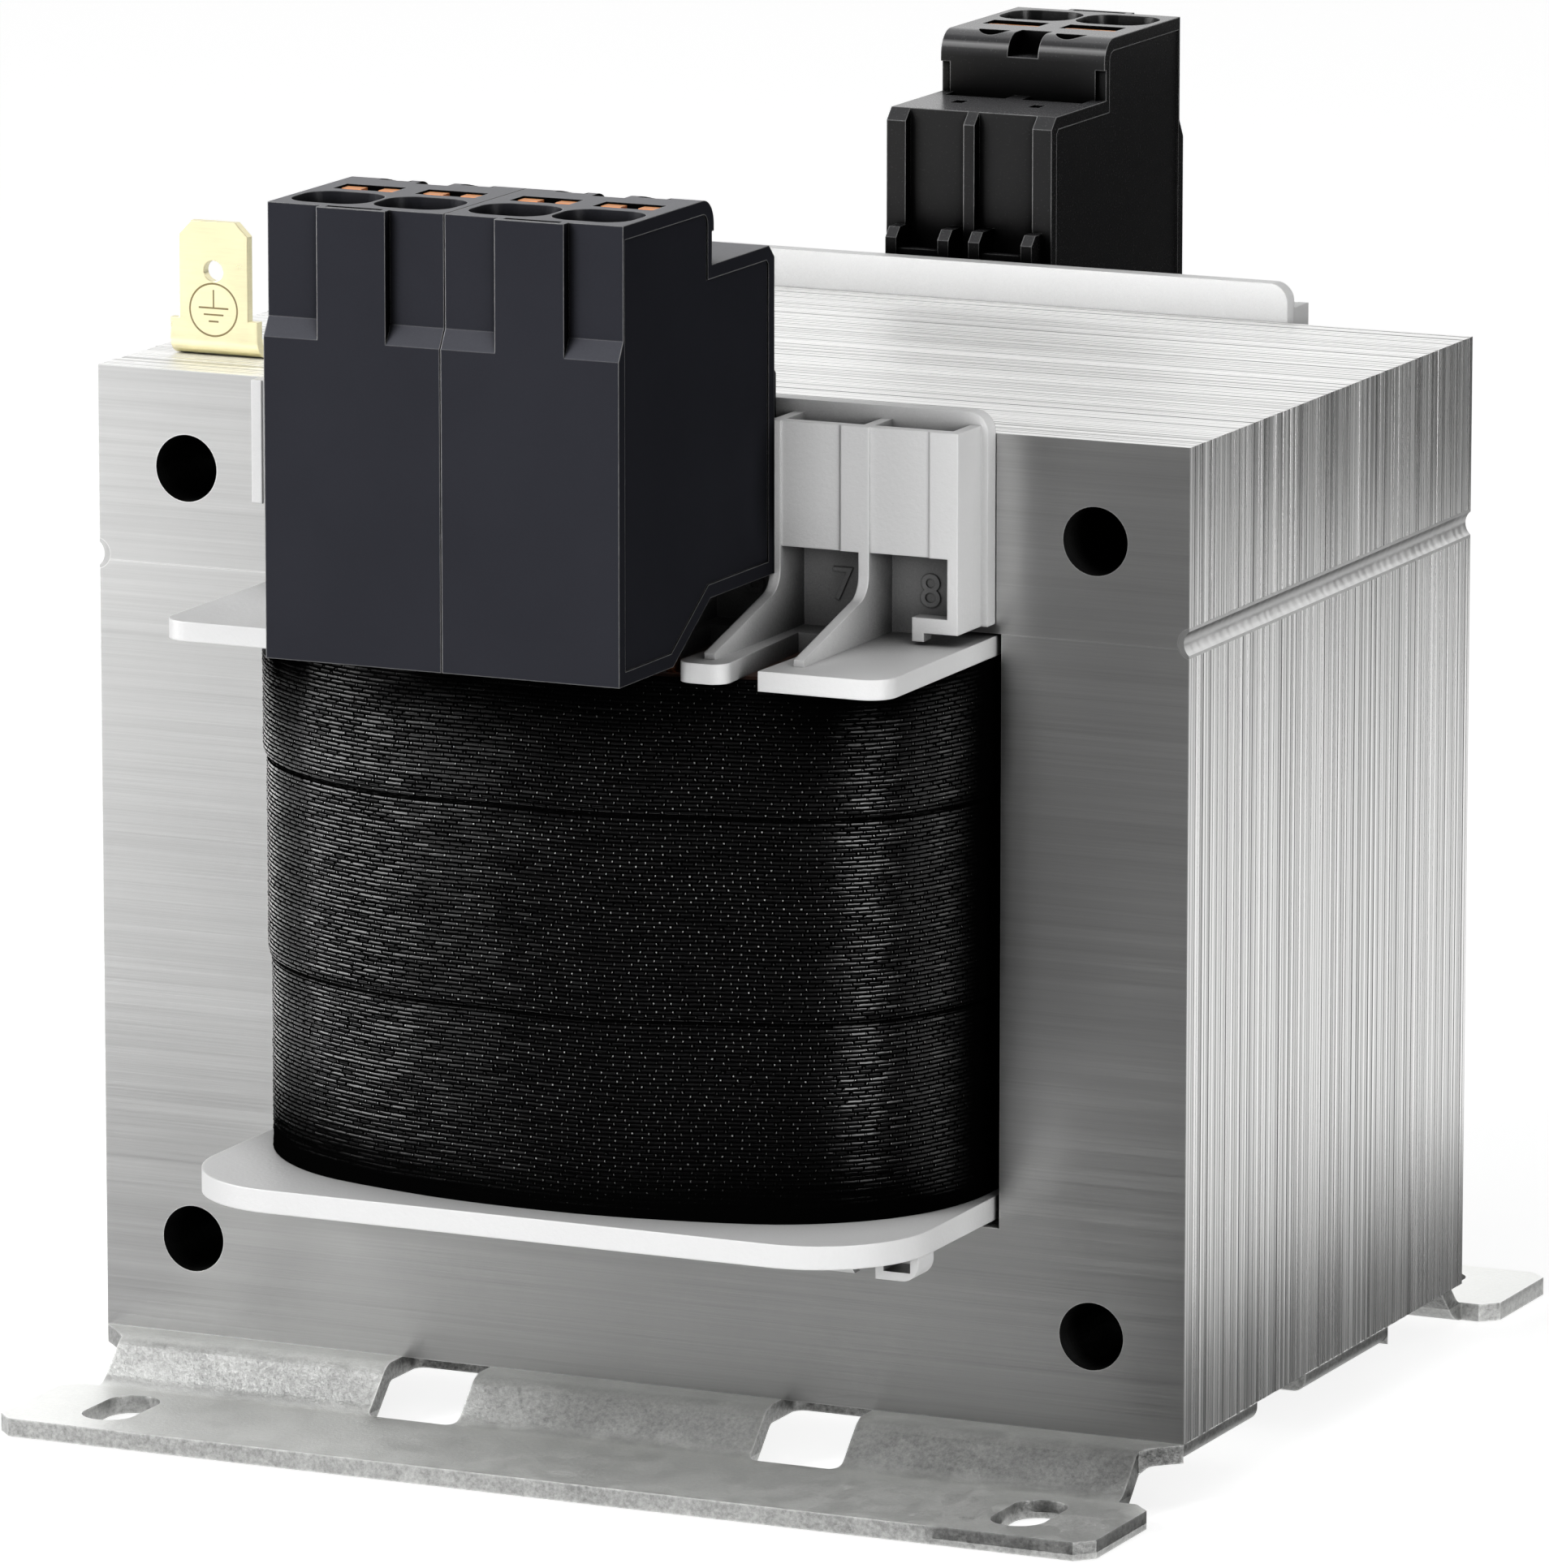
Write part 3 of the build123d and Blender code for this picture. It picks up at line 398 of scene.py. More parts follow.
def sheet_face_finish(colours):
    """Flat of the outer lamination: brushed along the width, cloudy, with painted highlights on
    its edges and painted shade towards the feet.
    """
    finish = Finish("sheet_face")
    hair = finish.noise(finish.place * (0.035, 0.2, 6.0), 1.0, 4.0, 0.65)
    streak = finish.noise(finish.place * (0.012, 0.1, 1.1), 1.0, 3.0, 0.6)
    cloud = finish.noise(finish.place, 0.03, 2.0)
    # Painted highlight: the rounded edges and hole rims are made lighter
    _, rim = finish.round_edges(0.2)
    # Painted shade: the face is darkened to half towards the feet
    low = finish.ramp(finish.z * 0.031, [(0.12, 0.5), (1.0, 1.0)])
    level = 0.95 + hair.swing(0.3) + streak.swing(0.3) + cloud.swing(0.2) + rim * 2.0
    rough = 0.36 + hair.swing(0.2) + streak.swing(0.1)
    return finish.done(finish.principled({
        "Base Color": finish.shaded(colours.steel, level * low),
        "Metallic": 1.0,
        "Roughness": rough,
        "Anisotropic": 0.85,
        "Anisotropic Rotation": 0.25,
        "Normal": finish.bump(hair * 0.012 + streak * 0.02),
    }))


def sheet_edge_finish(colours, sheet):
    """Cut edges of the laminations: each sheet with its own tone, ground along its length, with
    painted light where they face up.
    """
    finish = Finish("sheet_edges")
    run = finish.y / sheet + 0.5
    number = run.floor()
    seam = finish.ramp(abs(run.fraction() - 0.5) * 2.0, [(0.6, 1.0), (0.95, 0.35)])
    tone = finish.chance(number) - finish.chance(number + 1.0)
    second_tone = finish.chance(number * 0.37 + 11.3)
    along = finish.place * (0.02, 5.0, 0.02)
    hair = finish.noise(along, 1.0, 4.0, 0.7)
    patch = finish.noise(finish.place * (0.02, 0.6, 0.02), 1.0, 2.0)
    level = (1.22 + tone * 0.5 + hair.swing(0.4) + patch.swing(0.1)) * seam
    # Painted light: faces that point up are made up to 40 % lighter, and rougher
    lift = finish.facing("Z").at_least(0.0) * 0.4 + 1.0
    rough = 0.27 + second_tone * 0.1 + hair.swing(0.16) + (lift - 1.0) * 0.4
    return finish.done(finish.principled({
        "Base Color": finish.shaded(colours.steel, (level * lift).at_most(1.5)),
        "Metallic": 1.0,
        "Roughness": rough,
        "Normal": finish.bump(hair * 0.012),
    }))


def bore_finish(colours):
    """Punched walls of the fixing holes, torn across the sheets, painted near black as shade
    inside the holes.
    """
    finish = Finish("punched_bore")
    tear = finish.noise(finish.place * (0.8, 5.0, 0.8), 1.0, 3.0, 0.6)
    return finish.done(finish.principled({
        # Painted shade: the steel is darkened to a few per cent
        "Base Color": finish.shaded(colours.steel, 0.02 + tear * 0.03),
        "Metallic": 1.0,
        "Roughness": 0.5 + tear * 0.2,
        "Normal": finish.bump(tear * 0.05),
    }))


def weld_finish(colours):
    """Weld bead: smooth, with faint ripples across its run, painted dark underneath and light on
    top.
    """
    finish = Finish("weld_bead")
    wobble = finish.noise(finish.place, 0.35, 2.0)
    ripple = (finish.y * 4.2 + wobble * 7.0).sine() * 0.5 + 0.5
    soot = finish.noise(finish.place * (1.0, 0.25, 1.0), 0.8, 3.0)
    # Painted shade and light: faces that point down are darkened to a tenth, faces that point up
    # lightened
    under = finish.ramp(finish.facing("Z") * 0.5 + 0.5, [(0.22, 0.1), (0.5, 0.8), (0.8, 1.15)])
    return finish.done(finish.principled({
        "Base Color": finish.shaded(colours.steel, (0.85 + soot * 0.3) * under),
        "Metallic": 1.0,
        "Roughness": 0.3 + soot * 0.16,
        "Normal": finish.bump(ripple * 0.02),
    }))


def zinc_finish(colours):
    """Galvanised sheet: dull spangles and fine speckle, with painted highlights on its edges and
    painted light where it lies flat.
    """
    strip_top = 1.5
    finish = Finish("galvanised_sheet")
    cells = finish.node(
        "ShaderNodeTexVoronoi", {"feature": "F1"}, {"Vector": finish.place, "Scale": 0.55}
    )
    spangle, _, _ = finish.split(cells["Color"])
    speckle = finish.noise(finish.place, 2.6, 4.0, 0.75)
    cloud = finish.noise(finish.place * (0.05, 0.12, 0.12), 1.0, 3.0)
    _, edge = finish.round_edges(0.35)
    # Painted light: faces that lie flat are pulled towards a pale level below
    up = finish.facing("Z").at_least(0.0) ** 4.0
    level = spangle.swing(0.08) + speckle.swing(0.8) + cloud.swing(0.3)
    # Painted highlight on the upright edges of the strip, which are made lighter
    strip_edge_highlight = (finish.z < strip_top) * (1.0 - up)
    level = level * (1.0 - up * 0.7) + up * 1.05 + 0.29 + strip_edge_highlight * 0.2
    return finish.done(finish.principled({
        # Painted highlight: the rounded edges are made lighter
        "Base Color": finish.shaded(colours.zinc, level + edge.at_most(0.25) * 1.4),
        "Metallic": 1.0,
        "Roughness": 0.42 + speckle.swing(0.25) + spangle.swing(0.06),
        "Normal": finish.bump(speckle * 0.03 + cloud * 0.05),
    }))


def white_finish(colours):
    """White moulding with a fine leather grain, painted highlights on its edges and painted shade
    in its deep corners.
    """
    finish = Finish("white_moulding")
    rounded, edge = finish.round_edges(0.18)
    grain = finish.noise(finish.place, 2.6, 3.0, 0.55)
    fine = finish.noise(finish.place, 9.0, 2.0)
    cloud = finish.noise(finish.place, 0.08, 2.0)
    # Painted highlight: the rounded edges are made lighter
    level = 0.97 + cloud.swing(0.06) + grain.swing(0.03) + edge.at_most(0.2) * 0.4
    # Painted shade: deep corners and hollows are darkened, down to nearly black
    corner = finish.ramp(finish.open_air(12.0), [(0.15, 0.03), (0.72, 1.0)])
    return finish.done(finish.principled({
        "Base Color": finish.shaded(finish.shaded(colours.white, level), corner),
        "Roughness": 0.42 + grain.swing(0.2),
        "Normal": finish.bump(grain * 0.03 + fine * 0.008, rounded),
    }))


def block_finish(name, colour, polish):
    """Dark moulding: mottled, with painted highlights on its edges and shoulders, painted light on
    its tops and painted shade in its recesses. At polish 0 it is matt.
    """
    finish = Finish(name)
    rounded, edge = finish.round_edges(0.14)
    grain = finish.noise(finish.place, 5.0, 3.0, 0.6)
    cloud = finish.noise(finish.place, 0.12, 3.0)
    patchiness = finish.noise(finish.place, 0.7, 3.0)
    up = finish.facing("Z").at_least(0.0)
    # Painted light: faces that point up are made lighter, most of all on the polished block
    painted_top_light = 1.0 + up + up ** 3.0 * polish * 14.0
    level = (1.0 + cloud.swing(0.2) + grain.swing(0.12)) * painted_top_light
    # Painted highlight along the edges, in patches, blended towards grey
    edge_highlight = (edge * 5.0 * (0.2 + patchiness)).at_most(0.85)
    # Painted highlight: a pale band on the shoulders of the polished block
    shoulder_highlight = finish.ramp(up, [(0.3, 0.0), (0.5, 1.0), (0.62, 0.0)]) * polish
    tint = finish.blend((edge_highlight + shoulder_highlight).at_most(1.0), finish.shaded(colour, level), grey(0.5))
    relief = finish.bump(grain * (0.006 - polish * 0.011), rounded)
    matt = finish.principled({
        "Base Color": tint, "Roughness": 0.7, "Specular IOR Level": 0.0, "Normal": relief,
    })
    gloss = finish.principled({
        "Base Color": tint, "Roughness": 0.36 + grain.swing(0.1) - polish * 0.2,
        "Normal": relief,
    })
    skin = finish.mixed((up * 0.8 + edge * 5.0 + polish).at_most(1.0), matt, gloss)
    # Painted shade: this near-black matt shader takes over in recesses
    depth = finish.principled({
        "Base Color": grey(0.002), "Roughness": 0.9, "Specular IOR Level": 0.0,
    })
    recess_shade = finish.ramp(finish.open_air(7.0), [(0.5, 1.0), (0.88, 0.0)])
    return finish.done(finish.mixed(recess_shade, skin, depth))


def orange_finish(colours):
    """Orange button: satin moulding, with painted highlights on its edges."""
    finish = Finish("orange_moulding")
    rounded, edge = finish.round_edges(0.1)
    grain = finish.noise(finish.place, 4.0, 3.0)
    level = 0.97 + grain.swing(0.12)
    # Painted highlight: the edges are blended towards a pale orange
    colour = finish.blend(
        edge.at_most(0.5), finish.shaded(colours.orange, level), (1.0, 0.66, 0.45, 1)
    )
    return finish.done(finish.principled({
        "Base Color": colour,
        "Roughness": 0.4 + grain.swing(0.15),
        "Normal": finish.bump(grain * 0.006, rounded),
    }))


def wire_finish(name, colour, roughness, metallic=1.0):
    """Wire, strip or film with fine lines along its height."""
    finish = Finish(name)
    line = finish.noise(finish.place * (6.0, 6.0, 0.3), 1.0, 3.0, 0.6)
    cloud = finish.noise(finish.place, 0.5, 2.0)
    return finish.done(finish.principled({
        "Base Color": finish.shaded(colour, 0.85 + line * 0.2 + cloud.swing(0.1)),
        "Metallic": metallic,
        "Roughness": roughness + line.swing(0.15),
        "Normal": finish.bump(line * 0.008),
    }))


def brass_finish(colours, sign_x, sign_z):
    """Rolled brass with the plain earth sign engraved on both flats of the blade."""
    ring_radius, half_ring_line, half_line = 2.15, 0.075, 0.07
    stem_middle, half_stem = 0.9, 0.75
    bars = ((0.15, 1.35), (-0.4, 0.9), (-0.95, 0.45))
    finish = Finish("rolled_brass")
    roll = finish.noise(finish.place * (0.5, 0.5, 7.0), 1.0, 3.0, 0.6)
    cloud = finish.noise(finish.place, 0.35, 3.0)
    across = finish.x - sign_x
    up = finish.z - sign_z
    ring = abs((across * across + up * up) ** 0.5 - ring_radius) < half_ring_line
    stem = (abs(across) < half_line) * (abs(up - stem_middle) < half_stem)
    sign = ring.at_least(stem)
    for height, half_length in bars:
        bar = (abs(across) < half_length) * (abs(up - height) < half_line)
        sign = sign.at_least(bar)
    cut = sign * (abs(finish.facing("Y")) > 0.8)
    rounded, edge = finish.round_edges(0.12)
    # Painted highlight: the rounded edges are made lighter
    level = 0.9 + roll.swing(0.14) + cloud.swing(0.1) + edge.at_most(0.2) * 0.4
    colour = finish.blend(cut * 0.88, finish.shaded(colours.brass, level), (0.12, 0.08, 0.02, 1))
    return finish.done(finish.principled({
        "Base Color": colour,
        "Metallic": 1.0,
        "Roughness": 0.3 + cloud.swing(0.14) + cut * 0.3,
        "Normal": finish.bump(roll * 0.01 - cut * 0.05, rounded),
    }))


def tape_finish(colours):
    """Glossy black plain weave. The mesh gives the places of the threads."""
    finish = Finish("woven_tape")
    uv = finish.node("ShaderNodeUVMap", {"uv_map": "threads"})["UV"]
    sway = finish.noise(finish.place, 0.9, 3.0, 0.6)
    shake = finish.noise(finish.place * (1.0, 1.0, 2.2), 2.3, 2.0)
    across, up, _ = finish.split(uv)
    weft = up + shake.swing(0.22)
    row = weft.floor()
    column = across + sway.swing(0.3) + row * 0.5 + finish.chance(row + 80.0) * 0.35
    ridge = abs(weft.fraction().swing(2.0))
    crossing = abs(column.fraction().swing(2.0))
    # Draws for each stitch, from a number made of its row and column
    length = finish.chance(row + column.floor() * 17.0)
    lean = finish.chance(row * 3.0 + column.floor() * 5.0 + 40.0)
    gap = ridge > 0.55
    tuck = crossing > (0.87 - length * 0.2)
    knot = (crossing > 0.92) * (abs(weft.fraction() - 0.3 - lean * 0.4) < 0.24)
    # Painted glint: the knots get a light grey base colour
    knot_glint = knot * (0.08 + lean ** 3.0 * 1.1).at_most(1.0)
    height = (1 - ridge * ridge) * 0.04 - tuck * 0.05 + knot * 0.06
    height += (weft.fraction() - 0.5) * (length - 0.5) * 0.09
    height += (column.fraction() - 0.5) * (lean - 0.5) * 0.12
    thread = finish.principled({
        "Base Color": finish.blend(
            knot_glint, finish.shaded(colours.tape, 0.6 + length * 0.8), grey(0.6)
        ),
        "Roughness": 0.16 + lean * 0.1,
        "IOR": 1.46,
        "Normal": finish.bump(height),
    })
    dark = finish.principled({
        "Base Color": grey(0.0012), "Roughness": 0.9, "Specular IOR Level": 0.0,
    })
    between = (gap + tuck - knot).at_least(0.0).at_most(1.0)
    shadow = finish.ramp(finish.open_air(11.0), [(0.78, 1.0), (0.985, 0.0)])
    return finish.done(finish.mixed(between.at_least(shadow), thread, dark))


# Pieces built as meshes


def mesh_object(name, vertices, faces, materials):
    """Make and link a mesh object from points in metres."""
    mesh = bpy.data.meshes.new(name)
    mesh.from_pydata(vertices, [], faces)
    mesh.update()
    for material in materials:
        mesh.materials.append(material)
    obj = bpy.data.objects.new(name, mesh)
    bpy.context.scene.collection.objects.link(obj)
    return obj


def piece(name, vertices, faces, materials, body="root"):
    """Make a mesh object from points in millimetres and ride it on a body."""
    obj = mesh_object(name, [Vector(v) * MM for v in vertices], faces, materials)
    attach(obj, body)
    return obj


def arc(centre_x, centre_z, radius, start, end, count):
    """Points of an arc in the plane of a lamination, angles in radians."""
    turns = [start + (end - start) * step / (count - 1) for step in range(count)]
    return [(centre_x + radius * cos(turn), centre_z + radius * sin(turn)) for turn in turns]


def sheet_rings(front, rear, count, sizes, seed):
    """Places along a stack of sheets, and how far its skin is set back at each of them."""
    luck = random.Random(seed)
    pitch = (rear - front) / count
    rings = []
    for sheet in range(count):
        low, high = front + sheet * pitch, front + (sheet + 1) * pitch
        inner = 0 < sheet < count - 1
        back = luck.random() * sizes.unevenness if inner else 0.0
        rings += [(low + sizes.gap / 2, back), (high - sizes.gap / 2, back)]
        if sheet < count - 1:
            rings.append((high, sizes.gap_depth))
    rings[0] = (front, 0.0)
    rings[-1] = (rear, 0.0)
    return rings


def sheet_stack(name, outline, holes, rings, materials):
    """Stack of laminations as one skin, with materials for its flats, its edges and its holes."""
    half_width = max(x for x, _ in outline)
    top = max(z for _, z in outline)
    front, rear = rings[0][0], rings[-1][0]

    def set_back(point, depth):
        x, z = point
        if abs(abs(x) - half_width) < TOUCH:
            x -= depth if x > 0 else -depth
        if abs(z - top) < TOUCH:
            z -= depth
        return x, z

    vertices = []
    for y, depth in rings:
        vertices += [(x, y, z) for x, z in (set_back(point, depth) for point in outline)]
    size = len(outline)
    faces = []
    for ring in range(len(rings) - 1):
        for side in range(size):
            a = ring * size + side
            b = ring * size + (side + 1) % size
            faces.append((a, b, b + size, a + size))
    edge_faces = len(faces)
    last_ring = (len(rings) - 1) * size
    front_ids = list(range(size))
    rear_ids = [last_ring + side for side in range(size)]
    for hole in holes:
        start, count = len(vertices), len(hole)
        vertices += [(x, front, z) for x, z in hole] + [(x, rear, z) for x, z in hole]
        front_ids += range(start, start + count)
        rear_ids += range(start + count, start + 2 * count)
        for side in range(count):
            a, b = start + side, start + (side + 1) % count
            faces.append((b, a, a + count, b + count))
    wall_faces = len(faces)
    loops = [[Vector((x, z, 0)) for x, z in loop] for loop in [outline] + holes]
    for a, b, c in tessellate_polygon(loops):
        faces.append((front_ids[a], front_ids[b], front_ids[c]))
        faces.append((rear_ids[c], rear_ids[b], rear_ids[a]))
    obj = piece(name, vertices, faces, materials)
    flat, edge, bore = range(3)
    work = bmesh.new()
    work.from_mesh(obj.data)
    for index, face in enumerate(work.faces):
        face.material_index = edge if index < edge_faces else bore if index < wall_faces else flat
    bmesh.ops.recalc_face_normals(work, faces=work.faces)
    work.to_mesh(obj.data)
    work.free()
    return obj


# Operators


class LookOperator:
    """Shared settings of the operators below."""

    bl_options = {"REGISTER", "UNDO"}


class CORE_OT_laminations(LookOperator, bpy.types.Operator):
    """Build both lamination stacks with their separate sheets"""

    bl_idname = "core.laminations"
    bl_label = "Laminations"

    # Outline and fixing holes of the sheets, in millimetres
    leg = 16.0
    half_tongue = 16.0
    yoke = 16.0
    hole_x = 40.0
    hole_spacing = 64.0
    hole_radius = 2.75
    hole_sides = 48
    # Weld groove: how far its middle lies beside the stack and over the seam
    groove_out = 0.3
    groove_up = 0.45
    groove_radius = 1.25
    seam_gap = 0.02
    lower_points, upper_points = 7, 9
    # Seeds of the draws that set single sheets back
    e_seed, i_seed = 3, 4

    def holes(self, z):
        """The two fixing holes at a height."""
        return [
            arc(x, z, self.hole_radius, tau, 0.0, self.hole_sides + 1)[:-1]
            for x in (-self.hole_x, self.hole_x)
        ]

    def execute(self, context):
        sizes = context.scene.transformer_core
        colours = context.scene.transformer_colours
        low, high = millimetres("e_lamination_stack")
        top = millimetres("i_lamination_stack")[1].z
        half, front, rear = high.x, low.y, high.y
        bottom, seam = low.z, high.z
        if millimetres("weld_seam_right")[1].x > half + TOUCH:
            raise RuntimeError("the weld beads stand proud of the laminations")
        count = round((rear - front) / sizes.sheet)
        edges = sheet_edge_finish(colours, (rear - front) / count)
        materials = [sheet_face_finish(colours), edges, bore_finish(colours)]
        groove = (half + self.groove_out, seam + self.groove_up, self.groove_radius)
        side_turn = asin(self.groove_out / self.groove_radius)
        seam_turn = asin(self.groove_up / self.groove_radius)
        lower = arc(*groove, 1.5 * pi - side_turn, pi + seam_turn, self.lower_points)
        upper = arc(*groove, pi + seam_turn, pi / 2 + side_turn, self.upper_points)
        e_top = seam - self.seam_gap
        lower = [(x, min(z, e_top)) for x, z in lower]
        window, tongue, yoke = half - self.leg, self.half_tongue, bottom + self.yoke

        def mirrored(points):
            return [(-x, z) for x, z in reversed(points)]

        right = [(half, bottom)] + lower + [
            (window, e_top), (window, yoke), (tongue, yoke), (tongue, e_top)
        ]
        e_outline = right + mirrored(right)
        right = upper + [(half, top)]
        i_outline = right + mirrored(right)
        hole_rise = (top - bottom - self.hole_spacing) / 2
        rings = sheet_rings(front, rear, count, sizes, self.e_seed)
        stack = sheet_stack(
            "e_laminations", e_outline, self.holes(bottom + hole_rise), rings, materials
        )
        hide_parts("e_lamination_stack")
        rings = sheet_rings(front, rear, count, sizes, self.i_seed)
        stack = sheet_stack(
            "i_laminations", i_outline, self.holes(top - hole_rise), rings, materials
        )
        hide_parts("i_lamination_stack")
        bead_finish = weld_finish(colours)
        for side in ("left", "right"):
            dress(f"weld_seam_{side}", bead_finish)
        return {"FINISHED"}


class COIL_OT_tape(LookOperator, bpy.types.Operator):
    """Wind the woven tape round the coil, thread by thread"""

    bl_idname = "coil.tape"
    bl_label = "Outer tape"

    # Coil seen from above, in millimetres: bow of its ends and radius of its corners
    bow = 8.0
    corner = 17.8
    # Lower edges of the second and third band over that of the first
    overlap_heights = (16.0, 32.5)
    # Shadow notch under the edge of a band, and how fast the band then stands out
    notch_height = 0.2
    notch_depth = 0.25
    edge_share = 0.35
    edge_slope = 0.9
    # How far threads stray up and down in waves, and how near the flanges they run level
    long_wave = 0.12
    short_wave = 0.07
    level_margin = 1.0
    # How far a thread lies back by chance, where another crosses over it, and in a ripple
    raggedness = 0.03
    crossing_sink = 0.03
    ripple = 0.02
    seed = 11

    def quarter_turn(self, half_x, half_y, pitch):
        """Quarter of one turn: places, outward directions and distances from the middle."""
        bow, corner = self.bow, self.corner
        bow_radius = (half_x ** 2 + bow ** 2) / (2 * bow)
        bow_middle = half_y - bow_radius
        corner_x = half_x - corner
        corner_y = bow_middle + sqrt((bow_radius - corner) ** 2 - corner_x ** 2)
        join = atan2(corner_y - bow_middle, corner_x)
        points = [((half_x, 0.0), 0.0, 0.0), ((half_x, corner_y / 2), 0.0, corner_y / 2)]
        run = corner_y
        steps = round(corner * join / pitch)
        for step in range(steps):
            turn = join * step / steps
            place = (corner_x + corner * cos(turn), corner_y + corner * sin(turn))
            points.append((place, turn, run + corner * turn))
        run += corner * join
        steps = round(bow_radius * (pi / 2 - join) / pitch)
        for step in range(steps + 1):
            turn = join + (pi / 2 - join) * step / steps
            place = (bow_radius * cos(turn), bow_middle + bow_radius * sin(turn))
            points.append((place, turn, run + bow_radius * (turn - join)))
        return points

    def whole_turn(self, half_x, half_y, pitch):
        """Whole turn: places, outward directions and distances, anticlockwise from +X."""
        quarter = self.quarter_turn(half_x, half_y, pitch)
        quarter_run = quarter[-1][2]
        turn = list(quarter)
        turn += [((-x, y), pi - a, 2 * quarter_run - d) for (x, y), a, d in reversed(quarter[:-1])]
        half_turn = turn[-1][2]
        turn += [((-x, -y), a + pi, half_turn + d) for (x, y), a, d in turn[1:-1]]
        return turn

    def band_rise(self, height, step):
        """How far a band stands out at a height over its lower edge."""
        if height < -self.notch_height:
            return 0.0
        if height < 0.0:
            return -self.notch_depth
        return step * min(1.0, self.edge_share + height / self.edge_slope)

    def execute(self, context):
        sizes = context.scene.transformer_tape
        colours = context.scene.transformer_colours
        low, high = millimetres("outer_tape")
        bottom, top = low.z, high.z
        reach = len(self.overlap_heights) * sizes.step
        seams = [bottom + height for height in self.overlap_heights]
        count = round((top - bottom) / sizes.weft)
        pitch = (top - bottom) / count
        base = self.whole_turn(high.x - reach, high.y - reach, sizes.warp / 2)
        columns = len(base)
        luck = random.Random(self.seed)
        vertices, threads = [], []
        for ring in range(2 * count + 1):
            z = bottom + ring * pitch / 2
            crest = ring % 2 == 1
            thread = ring // 2
            offset = sum(self.band_rise(z - seam, sizes.step) for seam in seams)
            ragged = luck.uniform(-self.raggedness, 0.0)
            shift = luck.random()
            for column, ((x, y), turn, run) in enumerate(base):
                wave = self.long_wave * sin(run * 0.11 + thread * 0.02)
                wave += self.short_wave * sin(run * 0.31)
                under = crest and (column + thread) % 2 == 0
                relief = (0.0 if crest else -sizes.relief) - (self.crossing_sink if under else 0.0)
                out = offset + relief + ragged
                out -= self.ripple * (1 + sin(run * 0.5 + shift * tau))
                out = min(out, reach)
                free = bottom + self.level_margin < z < top - self.level_margin
                lift = wave if free else 0.0
                vertices.append((x + out * cos(turn), y + out * sin(turn), z + lift))
                threads.append((column / 2, ring / 2))
        faces, corners = [], []
        for ring in range(2 * count):
            for column in range(columns):
                a = ring * columns + column
                b = ring * columns + (column + 1) % columns
                faces.append((a, b, b + columns, a + columns))
                u, v = threads[a]
                corners += [(u, v), (u + 0.5, v), (u + 0.5, v + 0.5), (u, v + 0.5)]
        tape = piece("tape_bands", vertices, faces, [tape_finish(colours)])
        layer = tape.data.uv_layers.new(name="threads")
        for index, corner in enumerate(corners):
            layer.data[index].uv = corner
        tape.data.shade_smooth()
        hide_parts("outer_tape")
        return {"FINISHED"}


class COIL_OT_windings(LookOperator, bpy.types.Operator):
    """Finish the windings, their insulation and the winding ends"""

    bl_idname = "coil.windings"
    bl_label = "Windings"

    def execute(self, context):
        colours = context.scene.transformer_colours
        enamel = wire_finish("enamelled_copper", colours.copper, 0.25)
        # Darker than the leads: partly varnish, partly painted shade over the top of the coil
        winding = wire_finish("varnished_and_shaded_winding", (0.05, 0.018, 0.01, 1), 0.5, 0.0)
        film = wire_finish("insulation_film", (0.03, 0.022, 0.012, 1), 0.35, 0.0)
        for node in ("primary_winding", "secondary_winding"):
            dress(node, winding)
        for end in ("front", "rear"):
            dress(f"winding_leads_{end}", enamel)
        dress("winding_insulation", film)
        return {"FINISHED"}


class BOBBIN_OT_moulding(LookOperator, bpy.types.Operator):
    """Finish the bobbin and raise the numbers of its cells"""

    bl_idname = "bobbin.moulding"
    bl_label = "Bobbin"

    cell_pitch = 7.62
    cell_count = 8
    # Gap between core and terminal wall, thickness of the wall, and top of the flange below
    wall_gap = 0.1
    wall_thickness = 1.5
    flange_top = 67.2
    # Figures: height, middle over the flange, type size over height, relief and widening
    number_height = 2.7
    number_rise = 4.9
    type_size = 1.4
    number_relief = 0.2
    number_swell = 0.02

    def execute(self, context):
        colours = context.scene.transformer_colours
        material = white_finish(colours)
        dress("bobbin", material)
        mouldings = bpy.data.collections.new("white_mouldings")
        mouldings.objects.link(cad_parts["bobbin"])
        core_front = millimetres("e_lamination_stack")[0].y
        wall_face = core_front - self.wall_gap - self.wall_thickness
        number_middle = self.flange_top + self.number_rise
        for cell in range(self.cell_count):
            x = (cell - (self.cell_count - 1) / 2) * self.cell_pitch
            curve = bpy.data.curves.new(f"cell_number_{cell + 1}", "FONT")
            curve.body = str(cell + 1)
            curve.size = self.number_height * self.type_size * MM
            curve.align_x = "CENTER"
            curve.align_y = "CENTER"
            curve.extrude = self.number_relief * MM
            curve.offset = self.number_swell * MM
            number = bpy.data.objects.new(curve.name, curve)
            number.location = Vector((x, wall_face, number_middle)) * MM
            number.rotation_euler = (pi / 2, 0, 0)
            bpy.context.scene.collection.objects.link(number)
            mouldings.objects.link(number)
            curve.materials.append(material)
            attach(number, "root")
        return {"FINISHED"}


